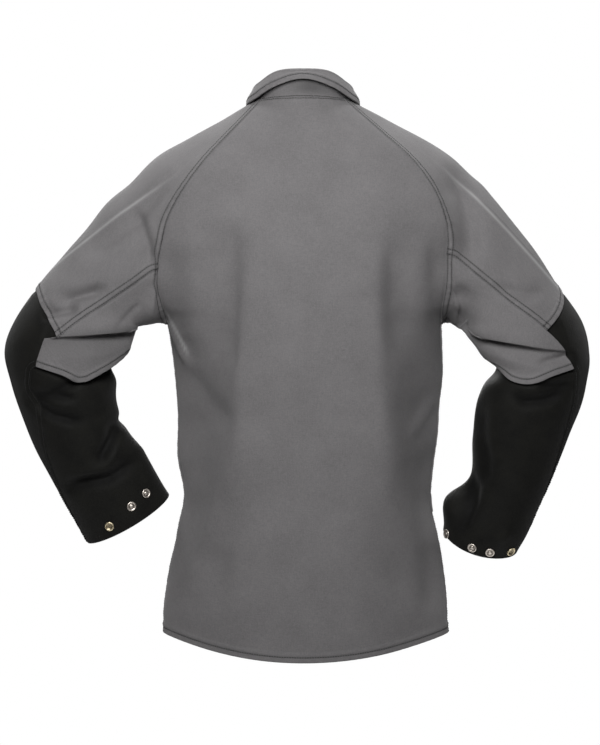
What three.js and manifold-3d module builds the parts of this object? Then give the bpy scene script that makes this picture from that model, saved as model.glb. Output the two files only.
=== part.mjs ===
// A welding jacket of grey flame-proof cotton with black split-leather lower sleeves,
// in the form of a worn jacket whose sleeves are bent at the elbow.
// Millimetres, +Z up. The front faces -Y, so the back is towards +Y and the left sleeve towards +X.
// The origin is the middle of the neck opening, level with the back neck seam.

import * as THREE from "three";
import { mergeVertices } from "three/addons/utils/BufferGeometryUtils.js";
import Module from "manifold-3d";

const wasm = await Module();
wasm.setup();

const radians = THREE.MathUtils.degToRad;
const lerp = THREE.MathUtils.lerp;
const clamp = THREE.MathUtils.clamp;
const smoothstep = THREE.MathUtils.smoothstep;

// Driving sizes
const CLOTH = 2; // wall of the cotton panels
const LEATHER = 2; // wall of the leather panels
const COLLAR_CLOTH = 2.6; // the collar is two layers of cotton
const SEAM_GAP = 0.5; // between two panels at a seam
const BODY_BOXINESS = 2.4; // exponent of the body's superellipse: 2 is an ellipse, more is squarer
const NECK_BOXINESS = 2.05;
const NECK_HALF_WIDTH = 67;
const NECK_MIDDLE_Y = 3;
const NECK_HALF_DEPTH = 63;
const BACK_NECK_CORNER = 53; // degrees round the neck from the back to the back raglan seam
const FRONT_NECK_CORNER = 55; // degrees round the neck from the front to the front raglan seam
const BACK_NECK_Z = -2;
const FRONT_NECK_Z = -46;
const THROAT_Z = -78;
const FLY_HALF_WIDTH = 26;
const FLY_TOP = 0.15; // below the neck seam, in sections
const SNAP_POST_RADIUS = 2.4;
const SNAP_HOLE_RADIUS = 2.8;
const SNAP_HOLE_LENGTH = 16;
const SNAP_SIDES = 10;
const BACK_COLUMNS = 16; // steps across the back
const FRONT_COLUMNS = 7; // steps across each front
const FLY_COLUMNS = 2;
const COLLAR_COLUMNS = 28; // steps round the collar
const NORMAL_STEP = 1e-3; // of a surface's parameters

// Horizontal sections of the back, from the hem to the neck seam. left and right are half widths,
// edge and mid are the panel's edges and its middle, wrap is how far the edge has turned, in degrees.
// Up to the armpit the edges are the side seams, and above it they are the raglan seams.
const BACK_SECTIONS = [
  { name: "hem", left: 189, right: 196, edge_y: 0, mid_y: 122, edge_z: -720, mid_z: -754, wrap: 90 },
  { name: "seat", left: 188, right: 195, edge_y: 0, mid_y: 121, edge_z: -678, mid_z: -694, wrap: 90 },
  { name: "hip", left: 181, right: 190, edge_y: 0, mid_y: 117, edge_z: -630, mid_z: -638, wrap: 90 },
  { name: "low_waist", left: 170, right: 182, edge_y: 0, mid_y: 112, edge_z: -582, mid_z: -585, wrap: 90 },
  { name: "waist", left: 161, right: 174, edge_y: 0, mid_y: 107, edge_z: -535, mid_z: -536, wrap: 90 },
  { name: "high_waist", left: 170, right: 179, edge_y: 0, mid_y: 108, edge_z: -480, mid_z: -480, wrap: 90 },
  { name: "ribs", left: 173, right: 185, edge_y: 0, mid_y: 112, edge_z: -421, mid_z: -421, wrap: 90 },
  { name: "chest", left: 177, right: 188, edge_y: 0, mid_y: 118, edge_z: -361, mid_z: -361, wrap: 90 },
  { name: "armpit", left: 185, right: 189, edge_y: 0, mid_y: 123, edge_z: -302, mid_z: -306, wrap: 90 },
  { name: "raglan_1", left: 191, right: 190, edge_y: 36, mid_y: 125, edge_z: -277, mid_z: -280, wrap: 80 },
  { name: "raglan_2", left: 197, right: 196, edge_y: 62, mid_y: 127, edge_z: -248, mid_z: -252, wrap: 66 },
  { name: "raglan_3", left: 196, right: 196, edge_y: 77, mid_y: 128, edge_z: -217, mid_z: -222, wrap: 57 },
  { name: "raglan_4", left: 190, right: 195, edge_y: 88, mid_y: 127, edge_z: -187, mid_z: -191, wrap: 51 },
  { name: "raglan_5", left: 177, right: 187, edge_y: 95, mid_y: 124, edge_z: -157, mid_z: -159, wrap: 47 },
  { name: "raglan_6", left: 157, right: 172, edge_y: 98, mid_y: 118, edge_z: -121, mid_z: -121, wrap: 44 },
  { name: "raglan_7", left: 127, right: 142, edge_y: 93, mid_y: 107, edge_z: -80, mid_z: -77, wrap: 43 },
  { name: "raglan_8", left: 92, right: 100, edge_y: 76, mid_y: 90, edge_z: -41, mid_z: -36, wrap: 46 },
  neckSection("neck", BACK_NECK_CORNER, 1, BACK_NECK_Z, 0),
];

// The same for the two fronts together, with the fastening in the middle.
const FRONT_SECTIONS = [
  { name: "hem", left: 189, right: 196, edge_y: 0, mid_y: -125, edge_z: -720, mid_z: -738, wrap: 90 },
  { name: "seat", left: 188, right: 195, edge_y: 0, mid_y: -125, edge_z: -678, mid_z: -687, wrap: 90 },
  { name: "hip", left: 181, right: 190, edge_y: 0, mid_y: -127, edge_z: -630, mid_z: -634, wrap: 90 },
  { name: "low_waist", left: 170, right: 182, edge_y: 0, mid_y: -128, edge_z: -582, mid_z: -584, wrap: 90 },
  { name: "waist", left: 161, right: 174, edge_y: 0, mid_y: -127, edge_z: -535, mid_z: -535, wrap: 90 },
  { name: "high_waist", left: 170, right: 179, edge_y: 0, mid_y: -128, edge_z: -480, mid_z: -480, wrap: 90 },
  { name: "ribs", left: 173, right: 185, edge_y: 0, mid_y: -131, edge_z: -421, mid_z: -421, wrap: 90 },
  { name: "chest", left: 177, right: 188, edge_y: 0, mid_y: -136, edge_z: -361, mid_z: -362, wrap: 90 },
  { name: "armpit", left: 185, right: 189, edge_y: 0, mid_y: -140, edge_z: -302, mid_z: -310, wrap: 90 },
  { name: "raglan_1", left: 189, right: 189, edge_y: -36, mid_y: -141, edge_z: -277, mid_z: -288, wrap: 80 },
  { name: "raglan_2", left: 193, right: 193, edge_y: -62, mid_y: -140, edge_z: -248, mid_z: -263, wrap: 66 },
  { name: "raglan_3", left: 190, right: 191, edge_y: -80, mid_y: -137, edge_z: -217, mid_z: -238, wrap: 57 },
  { name: "raglan_4", left: 181, right: 184, edge_y: -93, mid_y: -132, edge_z: -189, mid_z: -214, wrap: 52 },
  { name: "raglan_5", left: 166, right: 172, edge_y: -101, mid_y: -125, edge_z: -162, mid_z: -190, wrap: 49 },
  { name: "raglan_6", left: 145, right: 153, edge_y: -103, mid_y: -115, edge_z: -135, mid_z: -164, wrap: 48 },
  { name: "raglan_7", left: 117, right: 124, edge_y: -95, mid_y: -101, edge_z: -108, mid_z: -137, wrap: 49 },
  { name: "raglan_8", left: 86, right: 90, edge_y: -73, mid_y: -82, edge_z: -77, mid_z: -107, wrap: 52 },
  neckSection("neck", FRONT_NECK_CORNER, -1, FRONT_NECK_Z, THROAT_Z),
];

const ARMPIT = BACK_SECTIONS.findIndex((section) => section.name === "armpit");
const NECK = BACK_SECTIONS.length - 1;

// Sections of each sleeve after the raglan seam. outer and inner are its two sides seen from behind,
// mid_y is its middle, depth half its size from back to front, and back_drop how far its back
// lies below its front, because the sleeve leans back to the elbow and forward to the cuff.
const RING_COLUMNS = ["name", "outer_x", "outer_z", "inner_x", "inner_z", "mid_y", "depth", "back_drop"];
const LEFT_RINGS = namedRows(RING_COLUMNS, [
  ["shoulder", 205, -77, 199, -300, 2, 88, 0],
  ["deltoid", 262, -133, 212, -303, 8, 78, 0],
  ["upper_arm", 305, -188, 219, -304, 16, 69, 0],
  ["above_elbow", 352, -242, 223, -305, 26, 64, 0],
  ["elbow_top", 389, -296, 225, -312, 34, 61, 4],
  ["elbow", 405, -337, 234, -338, 36, 60, 8],
  ["below_elbow", 398, -379, 248, -371, 33, 58, 10],
  ["forearm_top", 382, -420, 252, -409, 28, 56, 10],
  ["forearm", 360, -474, 233, -455, 20, 52, 10],
  ["wrist", 327, -536, 204, -496, 12, 47, 11],
  ["cuff", 294, -595, 182, -534, 4, 42, 15],
]);
const RIGHT_RINGS = namedRows(RING_COLUMNS, [
  ["shoulder", -207, -77, -201, -300, 2, 88, 0],
  ["deltoid", -259, -131, -207, -304, 8, 78, 0],
  ["upper_arm", -301, -187, -211, -307, 16, 69, 0],
  ["above_elbow", -341, -242, -215, -309, 26, 64, 0],
  ["elbow_top", -373, -296, -220, -317, 34, 61, 4],
  ["elbow", -386, -344, -238, -340, 36, 60, 8],
  ["below_elbow", -383, -379, -247, -368, 33, 58, 10],
  ["forearm_top", -373, -420, -234, -409, 28, 56, 11],
  ["forearm", -351, -474, -229, -456, 20, 52, 13],
  ["wrist", -323, -541, -226, -513, 12, 47, 22],
  ["cuff", -290, -614, -188, -567, 4, 42, 28],
]);
const CUFF = LEFT_RINGS.length; // ring 0 is the raglan seam itself

// The lengthwise seams of a sleeve: degrees round from its outer side, at each ring.
const BACK_SEAMS = {
  left: [124.7, 112, 112, 107, 101, 78, 66, 56, 60, 43, 24, 12],
  right: [124.7, 104, 101, 96, 89.5, 69, 52, 42, 38, 30, 16, 5],
};
const FRONT_SEAM = [124.7, 118, 110, 100, 92, 80, 70, 62, 58, 56, 55, 55];
const NECK_EDGE_ANGLE = 14; // half of what the neck edge takes of ring 0, in degrees

// Where the leather starts, in rings from the raglan seam.
const TOP_PANEL_END = { middle: 4.3, seam: 5.1 };
const UNDER_PANEL_END = { middle: 7, seam: 6.5 };
const PANEL_END_CURVE = 1.6; // power of the line between the middle and the seams
const LEATHER_SETBACK = 0.016; // keeps the leather clear of the cotton's cut edge

// How the folds fade: towards the raglan seams, as a share of a half width; towards the neck seam,
// in sections; along a sleeve, in rings; and where the cloth turns away from behind.
const BODY_SEAM_FADE = 0.3;
const NECK_FADE = 2;
const SLEEVE_FADE = { none: 0.3, full: 1.5 };
const FACING_FADE = { none: 0.1, full: 0.6 };

// Main folds. Each runs between two points seen from behind, on the back or on one sleeve, and is
// a valley of that depth or, below zero, a ridge. behind is 0 where it goes all round the sleeve.
const FOLDS = [
  { name: "left_waist", on: "back", behind: 1, x0: 157, z0: -361, x1: 94, z1: -443, width: 24, depth: 10 },
  { name: "left_low_waist", on: "back", behind: 1, x0: 90, z0: -440, x1: 106, z1: -530, width: 28, depth: 8 },
  { name: "left_blade", on: "back", behind: 1, x0: 99, z0: -192, x1: 89, z1: -311, width: 26, depth: 5 },
  { name: "right_blade", on: "back", behind: 1, x0: -106, z0: -192, x1: -124, z1: -311, width: 26, depth: 5 },
  { name: "right_waist", on: "back", behind: 1, x0: -124, z0: -404, x1: -137, z1: -500, width: 28, depth: 8 },
  { name: "left_hip", on: "back", behind: 1, x0: 108, z0: -530, x1: 130, z1: -700, width: 24, depth: -5 },
  { name: "right_hip", on: "back", behind: 1, x0: -140, z0: -560, x1: -152, z1: -710, width: 24, depth: -5 },
  { name: "elbow", on: "left", behind: 0, x0: 200, z0: -306, x1: 322, z1: -321, width: 15, depth: 17 },
  { name: "elbow", on: "right", behind: 0, x0: -200, z0: -308, x1: -330, z1: -339, width: 15, depth: 16 },
  { name: "forearm", on: "left", behind: 1, x0: 360, z0: -404, x1: 301, z1: -435, width: 13, depth: 7 },
  { name: "wrist", on: "left", behind: 1, x0: 318, z0: -511, x1: 232, z1: -478, width: 15, depth: 8 },
  { name: "forearm", on: "right", behind: 1, x0: -247, z0: -417, x1: -244, z1: -530, width: 15, depth: 7 },
];

// The collar from the back round to one front end. rise and lean place its roll line above the neck
// seam, out and up the free edge of its fall, all measured from the neck seam.
const COLLAR_STATIONS = [
  { name: "back", rise: 37, lean: -3, out: 16, up: 22 },
  { name: "back_corner", rise: 36, lean: -5, out: 17, up: 14 },
  { name: "side", rise: 35, lean: -7, out: 13, up: 3 },
  { name: "front_corner", rise: 36, lean: -5, out: 18, up: -8 },
  { name: "front", rise: 34, lean: 0, out: 24, up: -14 },
];
const COLLAR_ROLL_RADIUS = 3.4;
const COLLAR_FALL_BULGE = 2; // how far the middle of the fall stands out
const COLLAR_END = 0.975; // share of the way round at which the collar ends in front

// Snaps on each cuff: degrees round from the sleeve's outer side, and distance from the cuff's edge.
const SNAPS = {
  left: [
    { angle: 134, from_edge: 26, metal: "nickel" },
    { angle: 109, from_edge: 23, metal: "nickel" },
    { angle: 74, from_edge: 14, metal: "brass" },
    { angle: 340, from_edge: 13, metal: "nickel" },
  ],
  right: [
    { angle: 104, from_edge: 12, metal: "nickel" },
    { angle: 80, from_edge: 14, metal: "nickel" },
    { angle: 38, from_edge: 19, metal: "brass" },
    { angle: 136, from_edge: 12, metal: "nickel" },
  ],
};

const COTTON = new THREE.MeshStandardMaterial({ color: 0x767576, roughness: 0.9, metalness: 0 });
const BLACK_LEATHER = new THREE.MeshStandardMaterial({ color: 0x1c1c1b, roughness: 0.85, metalness: 0 });
const SNAP_METALS = {
  nickel: new THREE.MeshStandardMaterial({ color: 0xb9b4ab, roughness: 0.35, metalness: 1 }),
  brass: new THREE.MeshStandardMaterial({ color: 0xb9a878, roughness: 0.35, metalness: 1 }),
};

// A power that keeps the sign, for superellipses.
function signedPower(value, boxiness) {
  return Math.sign(value) * Math.abs(value) ** (2 / boxiness);
}

function namedRows(columns, rows) {
  return rows.map((row) => Object.fromEntries(columns.map((column, i) => [column, row[i]])));
}

// The body section that lies on the neck's superellipse. side is 1 at the back and -1 in front.
function neckSection(name, corner, side, edgeZ, midZ) {
  const halfWidth = NECK_HALF_WIDTH * signedPower(Math.sin(radians(corner)), NECK_BOXINESS);
  const reach = NECK_HALF_DEPTH * signedPower(Math.cos(radians(corner)), NECK_BOXINESS);
  return {
    name,
    left: halfWidth,
    right: halfWidth,
    edge_y: NECK_MIDDLE_Y + side * reach,
    mid_y: NECK_MIDDLE_Y + side * NECK_HALF_DEPTH,
    edge_z: edgeZ,
    mid_z: midZ,
    wrap: corner,
  };
}

// A smooth curve through evenly spaced values, read at a place counted in values.
function throughValues(values, place) {
  const last = values.length - 1;
  const at = clamp(place, 0, last);
  const i = Math.min(Math.floor(at), last - 1);
  const before = i > 0 ? values[i - 1] : 2 * values[0] - values[1];
  const after = i + 2 <= last ? values[i + 2] : 2 * values[last] - values[last - 1];
  return catmullRom(before, values[i], values[i + 1], after, at - i);
}

function catmullRom(a, b, c, d, t) {
  const start = (c - a) / 2;
  const end = (d - b) / 2;
  const square = t * t;
  const cube = square * t;
  return (
    (2 * cube - 3 * square + 1) * b +
    (cube - 2 * square + t) * start +
    (3 * square - 2 * cube) * c +
    (cube - square) * end
  );
}

function columnAt(table, column, place) {
  return throughValues(table.map((row) => row[column]), place);
}

function boxinessAt(v) {
  return lerp(BODY_BOXINESS, NECK_BOXINESS, smoothstep(v, ARMPIT, NECK));
}

// The side seams below the armpit lie midway between back and front.
function wrapAt(sections, v) {
  return radians(v > ARMPIT ? columnAt(sections, "wrap", v) : 90);
}

// A point of the back or the front. u runs from -1 at the right edge to 1 at the left edge,
// and v counts sections from the hem.
function bodyPoint(sections, u, v) {
  const wrap = wrapAt(sections, v);
  const turn = u * wrap;
  const half = columnAt(sections, u > 0 ? "left" : "right", v);
  const box = boxinessAt(v);
  const share = signedPower(Math.sin(turn), box) / signedPower(Math.sin(wrap), box);
  const edgeCosine = signedPower(Math.max(Math.cos(wrap), 0), box);
  const nearness = (signedPower(Math.max(Math.cos(turn), 0), box) - edgeCosine) / (1 - edgeCosine);
  return new THREE.Vector3(
    half * share,
    lerp(v > ARMPIT ? columnAt(sections, "edge_y", v) : 0, columnAt(sections, "mid_y", v), nearness),
    lerp(columnAt(sections, "mid_z", v), columnAt(sections, "edge_z", v), share * share),
  );
}

// The u of a point that lies x from the middle of a section.
function uAtWidth(sections, x, v) {
  const wrap = wrapAt(sections, v);
  const half = columnAt(sections, x > 0 ? "left" : "right", v);
  const sine = Math.sin(wrap) * Math.abs(x / half) ** (boxinessAt(v) / 2);
  return (Math.sign(x) * Math.asin(sine)) / wrap;
}

// The part of the neck edge that belongs to a sleeve, from its back corner to its front corner.
function sleeveNeckPoint(side, share) {
  const turn = radians(lerp(BACK_NECK_CORNER, 180 - FRONT_NECK_CORNER, share));
  return new THREE.Vector3(
    side * NECK_HALF_WIDTH * signedPower(Math.sin(turn), NECK_BOXINESS),
    NECK_MIDDLE_Y + NECK_HALF_DEPTH * signedPower(Math.cos(turn), NECK_BOXINESS),
    lerp(BACK_NECK_Z, FRONT_NECK_Z, share ** 3),
  );
}

// Ring 0 of a sleeve: its neck edge and the two raglan seams. angle runs from 0 at the shoulder
// through the back to 180 at the armpit, and on through the front.
function raglanPoint(side, angle) {
  const signed = angle > 180 ? angle - 360 : angle;
  if (Math.abs(signed) < NECK_EDGE_ANGLE) {
    return sleeveNeckPoint(side, (NECK_EDGE_ANGLE - signed) / (2 * NECK_EDGE_ANGLE));
  }
  return bodyPoint(signed > 0 ? BACK_SECTIONS : FRONT_SECTIONS, side, raglanSection(signed));
}

// The body section, counted from the hem, that meets the raglan seam at an angle of ring 0.
function raglanSection(angle) {
  const down = (Math.abs(angle) - NECK_EDGE_ANGLE) / (180 - NECK_EDGE_ANGLE);
  return lerp(NECK, ARMPIT, down);
}

function raglanAngle(section) {
  return lerp(NECK_EDGE_ANGLE, 180, (NECK - section) / (NECK - ARMPIT));
}

function ringPoint(arm, angle, index) {
  if (index < 1) {
    return raglanPoint(arm.side, angle);
  }
  const ring = arm.rings[Math.min(index, CUFF) - 1];
  const cosine = Math.cos(radians(angle));
  const sine = Math.sin(radians(angle));
  return new THREE.Vector3(
    lerp(ring.inner_x, ring.outer_x, (1 + cosine) / 2),
    ring.mid_y + ring.depth * sine,
    lerp(ring.inner_z, ring.outer_z, (1 + cosine) / 2) - ring.back_drop * sine,
  );
}

// A point of a whole sleeve: an angle round it and a place along it, counted in rings.
function sleevePoint(arm, angle, along) {
  const i = Math.min(Math.floor(along), CUFF - 1);
  const b = ringPoint(arm, angle, i);
  const c = ringPoint(arm, angle, i + 1);
  const a = i > 0 ? ringPoint(arm, angle, i - 1) : b.clone().multiplyScalar(2).sub(c);
  const d = i + 2 <= CUFF ? ringPoint(arm, angle, i + 2) : c.clone().multiplyScalar(2).sub(b);
  const t = along - i;
  return new THREE.Vector3(
    catmullRom(a.x, b.x, c.x, d.x, t),
    catmullRom(a.y, b.y, c.y, d.y, t),
    catmullRom(a.z, b.z, c.z, d.z, t),
  );
}

// The normal of a surface of two parameters, from points a small step away. limits keep the
// steps inside the surface, and turn is 1 or -1 so that the normal points outwards.
function normalOf(surface, u, v, limits, turn) {
  const [lowU, highU] = [u - NORMAL_STEP, u + NORMAL_STEP].map((value) => clamp(value, ...limits.u));
  const [lowV, highV] = [v - NORMAL_STEP, v + NORMAL_STEP].map((value) => clamp(value, ...limits.v));
  const across = surface(highU, v).sub(surface(lowU, v));
  const along = surface(u, highV).sub(surface(u, lowV));
  return across.cross(along).multiplyScalar(turn).normalize();
}

function distanceToSegment(x, z, fold) {
  const dx = fold.x1 - fold.x0;
  const dz = fold.z1 - fold.z0;
  const share = clamp(((x - fold.x0) * dx + (z - fold.z0) * dz) / (dx * dx + dz * dz), 0, 1);
  return Math.hypot(x - fold.x0 - share * dx, z - fold.z0 - share * dz);
}

// How far the folds of one piece push a point in along its normal.
function foldDepth(piece, point, normal) {
  return FOLDS.filter((fold) => fold.on === piece).reduce((sum, fold) => {
    const away = distanceToSegment(point.x, point.z, fold) / fold.width;
    const facing = fold.behind ? smoothstep(normal.y, FACING_FADE.none, FACING_FADE.full) : 1;
    return sum + fold.depth * facing * Math.exp(-away * away);
  }, 0);
}

// The back or front with its folds, which fade out towards the raglan and neck seams.
function foldedBody(name, sections, turn) {
  const smooth = (u, v) => bodyPoint(sections, u, v);
  const limits = { u: [-1, 1], v: [0, NECK] };
  const normal = (u, v) => normalOf(smooth, u, v, limits, turn);
  const point = (u, v) => {
    const p = smooth(u, v);
    const n = normal(u, v);
    const seam = v > ARMPIT ? smoothstep(1 - Math.abs(u), 0, BODY_SEAM_FADE) : 1;
    const neck = smoothstep(NECK - v, 0, NECK_FADE);
    return p.addScaledVector(n, -foldDepth(name, p, n) * seam * neck);
  };
  return { point, normal, limits, turn };
}

// A sleeve with its folds, which fade out towards the raglan seam.
function foldedSleeve(name, arm) {
  const smooth = (angle, along) => sleevePoint(arm, angle, along);
  const limits = { u: [-360, 720], v: [0, CUFF] };
  const normal = (angle, along) => normalOf(smooth, angle, along, limits, -arm.side);
  const point = (angle, along) => {
    const p = smooth(angle, along);
    const n = normal(angle, along);
    const seam = smoothstep(along, SLEEVE_FADE.none, SLEEVE_FADE.full);
    return p.addScaledVector(n, -foldDepth(name, p, n) * seam);
  };
  return { point, normal, limits, turn: -arm.side };
}

const back = foldedBody("back", BACK_SECTIONS, -1);
const front = foldedBody("front", FRONT_SECTIONS, 1);
const arms = {
  left: { side: 1, rings: LEFT_RINGS, backSeam: BACK_SEAMS.left },
  right: { side: -1, rings: RIGHT_RINGS, backSeam: BACK_SEAMS.right },
};
for (const [hand, arm] of Object.entries(arms)) {
  arm.surface = foldedSleeve(hand, arm);
}

// Along the raglan seam both walls end on the plane midway between the body and the sleeve.
function raglanMitre(arm, angle) {
  const signed = angle > 180 ? angle - 360 : angle;
  const ofSleeve = arm.surface.normal(angle, 0);
  if (Math.abs(signed) < NECK_EDGE_ANGLE) {
    return ofSleeve;
  }
  const body = signed > 0 ? back : front;
  return body.normal(arm.side, raglanSection(signed)).add(ofSleeve).normalize();
}

// A closed wall from a grid of points on its outer face and the normals there.
function closedWall(points, normals, thickness) {
  const rows = points.length;
  const columns = points[0].length;
  const positions = [];
  for (const depth of [0, thickness]) {
    points.forEach((row, j) =>
      row.forEach((p, i) => positions.push(...p.clone().addScaledVector(normals[j][i], -depth).toArray())),
    );
  }
  const inner = rows * columns;
  const at = (j, i) => j * columns + i;
  const triangles = [];
  const apart = (a, b) =>
    Math.hypot(...[0, 1, 2].map((axis) => positions[3 * a + axis] - positions[3 * b + axis]));
  const quad = (a, b, c, d) => {
    if (apart(a, c) < apart(b, d)) {
      triangles.push(a, b, c, a, c, d);
    } else {
      triangles.push(a, b, d, b, c, d);
    }
  };
  for (let j = 0; j + 1 < rows; j++) {
    for (let i = 0; i + 1 < columns; i++) {
      quad(at(j, i), at(j, i + 1), at(j + 1, i + 1), at(j + 1, i));
      quad(inner + at(j, i), inner + at(j + 1, i), inner + at(j + 1, i + 1), inner + at(j, i + 1));
    }
  }
  for (const [rim, from, to] of [
    [columns, (i) => at(0, i), 1],
    [columns, (i) => at(rows - 1, i), -1],
    [rows, (j) => at(j, 0), -1],
    [rows, (j) => at(j, columns - 1), 1],
  ]) {
    for (let i = 0; i + 1 < rim; i++) {
      const [a, b] = to > 0 ? [from(i), from(i + 1)] : [from(i + 1), from(i)];
      quad(b, a, inner + a, inner + b);
    }
  }
  const geometry = new THREE.BufferGeometry();
  geometry.setAttribute("position", new THREE.Float32BufferAttribute(positions, 3));
  geometry.setIndex(triangles);
  if (signedVolume(geometry) < 0) {
    geometry.setIndex(triangles.reverse());
  }
  geometry.computeVertexNormals();
  return geometry;
}

function signedVolume(geometry) {
  const p = geometry.getAttribute("position");
  const index = geometry.index.array;
  const [a, b, c] = [new THREE.Vector3(), new THREE.Vector3(), new THREE.Vector3()];
  let six = 0;
  for (let i = 0; i < index.length; i += 3) {
    a.fromBufferAttribute(p, index[i]);
    b.fromBufferAttribute(p, index[i + 1]);
    c.fromBufferAttribute(p, index[i + 2]);
    six += a.dot(b.cross(c));
  }
  return six / 6;
}

// Moves the rim of a grid of points in by half a seam gap.
function insetRim(points) {
  const rows = points.length;
  const columns = points[0].length;
  const towards = (from, to) => to.clone().sub(from).setLength(SEAM_GAP / 2);
  for (const row of points) {
    row[0].add(towards(row[0], row[1]));
    row[columns - 1].add(towards(row[columns - 1], row[columns - 2]));
  }
  for (let i = 0; i < columns; i++) {
    points[0][i].add(towards(points[0][i], points[1][i]));
    points[rows - 1][i].add(towards(points[rows - 1][i], points[rows - 2][i]));
  }
}

// A panel of cloth or leather. place(p, line) gives the two parameters of its surface for a share p
// across the panel and a line along it, and mitre may give another normal at a seam.
function panel({ surface, across, along, place, mitre, thickness }) {
  const places = along.map((line) => across.map((p) => place(p, line)));
  const points = places.map((row) => row.map(([u, v]) => surface.point(u, v)));
  const normals = places.map((row) =>
    row.map(([u, v]) => {
      const seam = mitre ? mitre(u, v) : null;
      return seam || normalOf(surface.point, u, v, surface.limits, surface.turn);
    }),
  );
  insetRim(points);
  return closedWall(points, normals, thickness);
}

function shares(count) {
  return Array.from({ length: count + 1 }, (_, i) => i / count);
}

// Sections at which the body panels have an edge line. From the armpit up, the sleeves have theirs
// at the same places, so the two sides of a seam follow each other.
const BODY_LINES = [0, 0.75, 1.5, 2.3, 3.1, 3.9, 4.7, 5.5, 6.3, 7.15];
const RAGLAN_LINES = [8, 8.5, 9, 9.5, 10, 10.5, 11, 12, 13, 14, 15, 16, 17];
const SLEEVE_SEAM_SECTION = 11; // the body section at which the sleeve's back seam starts

// At the side seams and the raglan seams the walls of both panels end on one plane.
function bodyMitre(surface, u, v) {
  if (Math.abs(u) < 1) {
    return null;
  }
  if (v <= ARMPIT) {
    return back.normal(u, v).add(front.normal(u, v)).normalize();
  }
  const angle = raglanAngle(v);
  return raglanMitre(u > 0 ? arms.left : arms.right, surface === back ? angle : 360 - angle);
}

function bodyPanel(surface, uRange, columns) {
  const [from, to] = uRange;
  return panel({
    surface,
    across: shares(columns),
    along: [...BODY_LINES, ...RAGLAN_LINES],
    place: (p, line) => [lerp(from, to, p), line],
    mitre: (u, v) => bodyMitre(surface, u, v),
    thickness: CLOTH,
  });
}

// Angles of ring 0 at which the upper and lower sleeve panels have an edge line, as shares across them.
const TOP_LINES = RAGLAN_LINES.filter((line) => line >= SLEEVE_SEAM_SECTION);
const UNDER_LINES = RAGLAN_LINES.filter((line) => line <= SLEEVE_SEAM_SECTION);
const BACK_TOP_ANGLES = TOP_LINES.map(raglanAngle);
const TOP_ANGLES = [...BACK_TOP_ANGLES, 0, ...BACK_TOP_ANGLES.map((angle) => -angle).reverse()];
const UNDER_ANGLES = [
  ...UNDER_LINES.map(raglanAngle).reverse(),
  ...UNDER_LINES.filter((line) => line > ARMPIT).map((line) => 360 - raglanAngle(line)),
];
const TOP_SHARES = TOP_ANGLES.map((angle) => (1 - angle / TOP_ANGLES[0]) / 2);
const UNDER_SHARES = UNDER_ANGLES.map((angle) => (angle - UNDER_ANGLES[0]) / (360 - 2 * UNDER_ANGLES[0]));

// The leather on the lower side of the sleeve is finer, because the cuff is closely curved.
const INNER_SHARES = UNDER_SHARES.flatMap((share, i) =>
  i > 0 ? [(share + UNDER_SHARES[i - 1]) / 2, share] : [share],
);

// The angle of a share across the top half of a sleeve, from its back seam over its outer side,
// and across the lower half, from its back seam round underneath.
function topAngle(arm, share, along) {
  return lerp(throughValues(arm.backSeam, along), -throughValues(FRONT_SEAM, along), share);
}

function underAngle(arm, share, along) {
  return lerp(throughValues(arm.backSeam, along), 360 - throughValues(FRONT_SEAM, along), share);
}

// How far along the sleeve a cotton panel ends, for a share across it.
function panelEnd(end, share) {
  return lerp(end.middle, end.seam, Math.abs(2 * share - 1) ** PANEL_END_CURVE);
}

// Rings at which the sleeve panels have an edge line at their lengthwise seams.
const SLEEVE_LINES = [
  0, 0.5, 1, 1.5, 2, 2.5, 3, 3.5, 3.9, 4.3, 4.7, TOP_PANEL_END.seam,
  5.4, 5.7, 6.05, UNDER_PANEL_END.seam, 7.3, 8.3, 9.4, 10.4, CUFF,
];

function cottonSleevePanel(arm, across, angle, end) {
  return panel({
    surface: arm.surface,
    across,
    along: SLEEVE_LINES.filter((line) => line <= end.seam),
    place: (p, line) => {
      const along = (line * panelEnd(end, p)) / end.seam;
      return [angle(arm, p, along), along];
    },
    mitre: (u, v) => (v === 0 ? raglanMitre(arm, (u + 360) % 360) : null),
    thickness: CLOTH,
  });
}

function leatherSleevePanel(arm, across, angle, start) {
  return panel({
    surface: arm.surface,
    across,
    along: SLEEVE_LINES.filter((line) => line >= start.seam),
    place: (p, line) => {
      const begin = panelEnd(start, p) + LEATHER_SETBACK;
      const along = lerp(begin, CUFF, (line - start.seam) / (CUFF - start.seam));
      return [angle(arm, p, along), along];
    },
    thickness: LEATHER,
  });
}

// The neck edge of the jacket. w runs from -1 at the throat's right side through 0 at the back
// to 1 at the throat's left side, in degrees round the neck.
function neckPoint(w) {
  const side = Math.sign(w) || 1;
  const turn = Math.abs(w) * 180;
  if (turn <= BACK_NECK_CORNER) {
    return bodyPoint(BACK_SECTIONS, (side * turn) / BACK_NECK_CORNER, NECK);
  }
  if (turn >= 180 - FRONT_NECK_CORNER) {
    return bodyPoint(FRONT_SECTIONS, (side * (180 - turn)) / FRONT_NECK_CORNER, NECK);
  }
  return sleeveNeckPoint(side, (turn - BACK_NECK_CORNER) / (180 - FRONT_NECK_CORNER - BACK_NECK_CORNER));
}

// The collar's folded section at a share w round the neck: up the stand, over the roll and down
// the fall. Each point is measured out from the neck edge and up from it.
function collarSection(w) {
  const place = Math.abs(w) * (COLLAR_STATIONS.length - 1);
  const [rise, lean, out, up] = ["rise", "lean", "out", "up"].map((column) =>
    columnAt(COLLAR_STATIONS, column, place),
  );
  const roll = COLLAR_ROLL_RADIUS;
  const top = rise - roll;
  return [
    [0, SEAM_GAP],
    [lean / 2, top / 2],
    [lean, top],
    [lean + roll, rise],
    [lean + 2 * roll, top],
    [(lean + 2 * roll + out) / 2 + COLLAR_FALL_BULGE, (top + up) / 2],
    [out, up],
  ];
}

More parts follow.
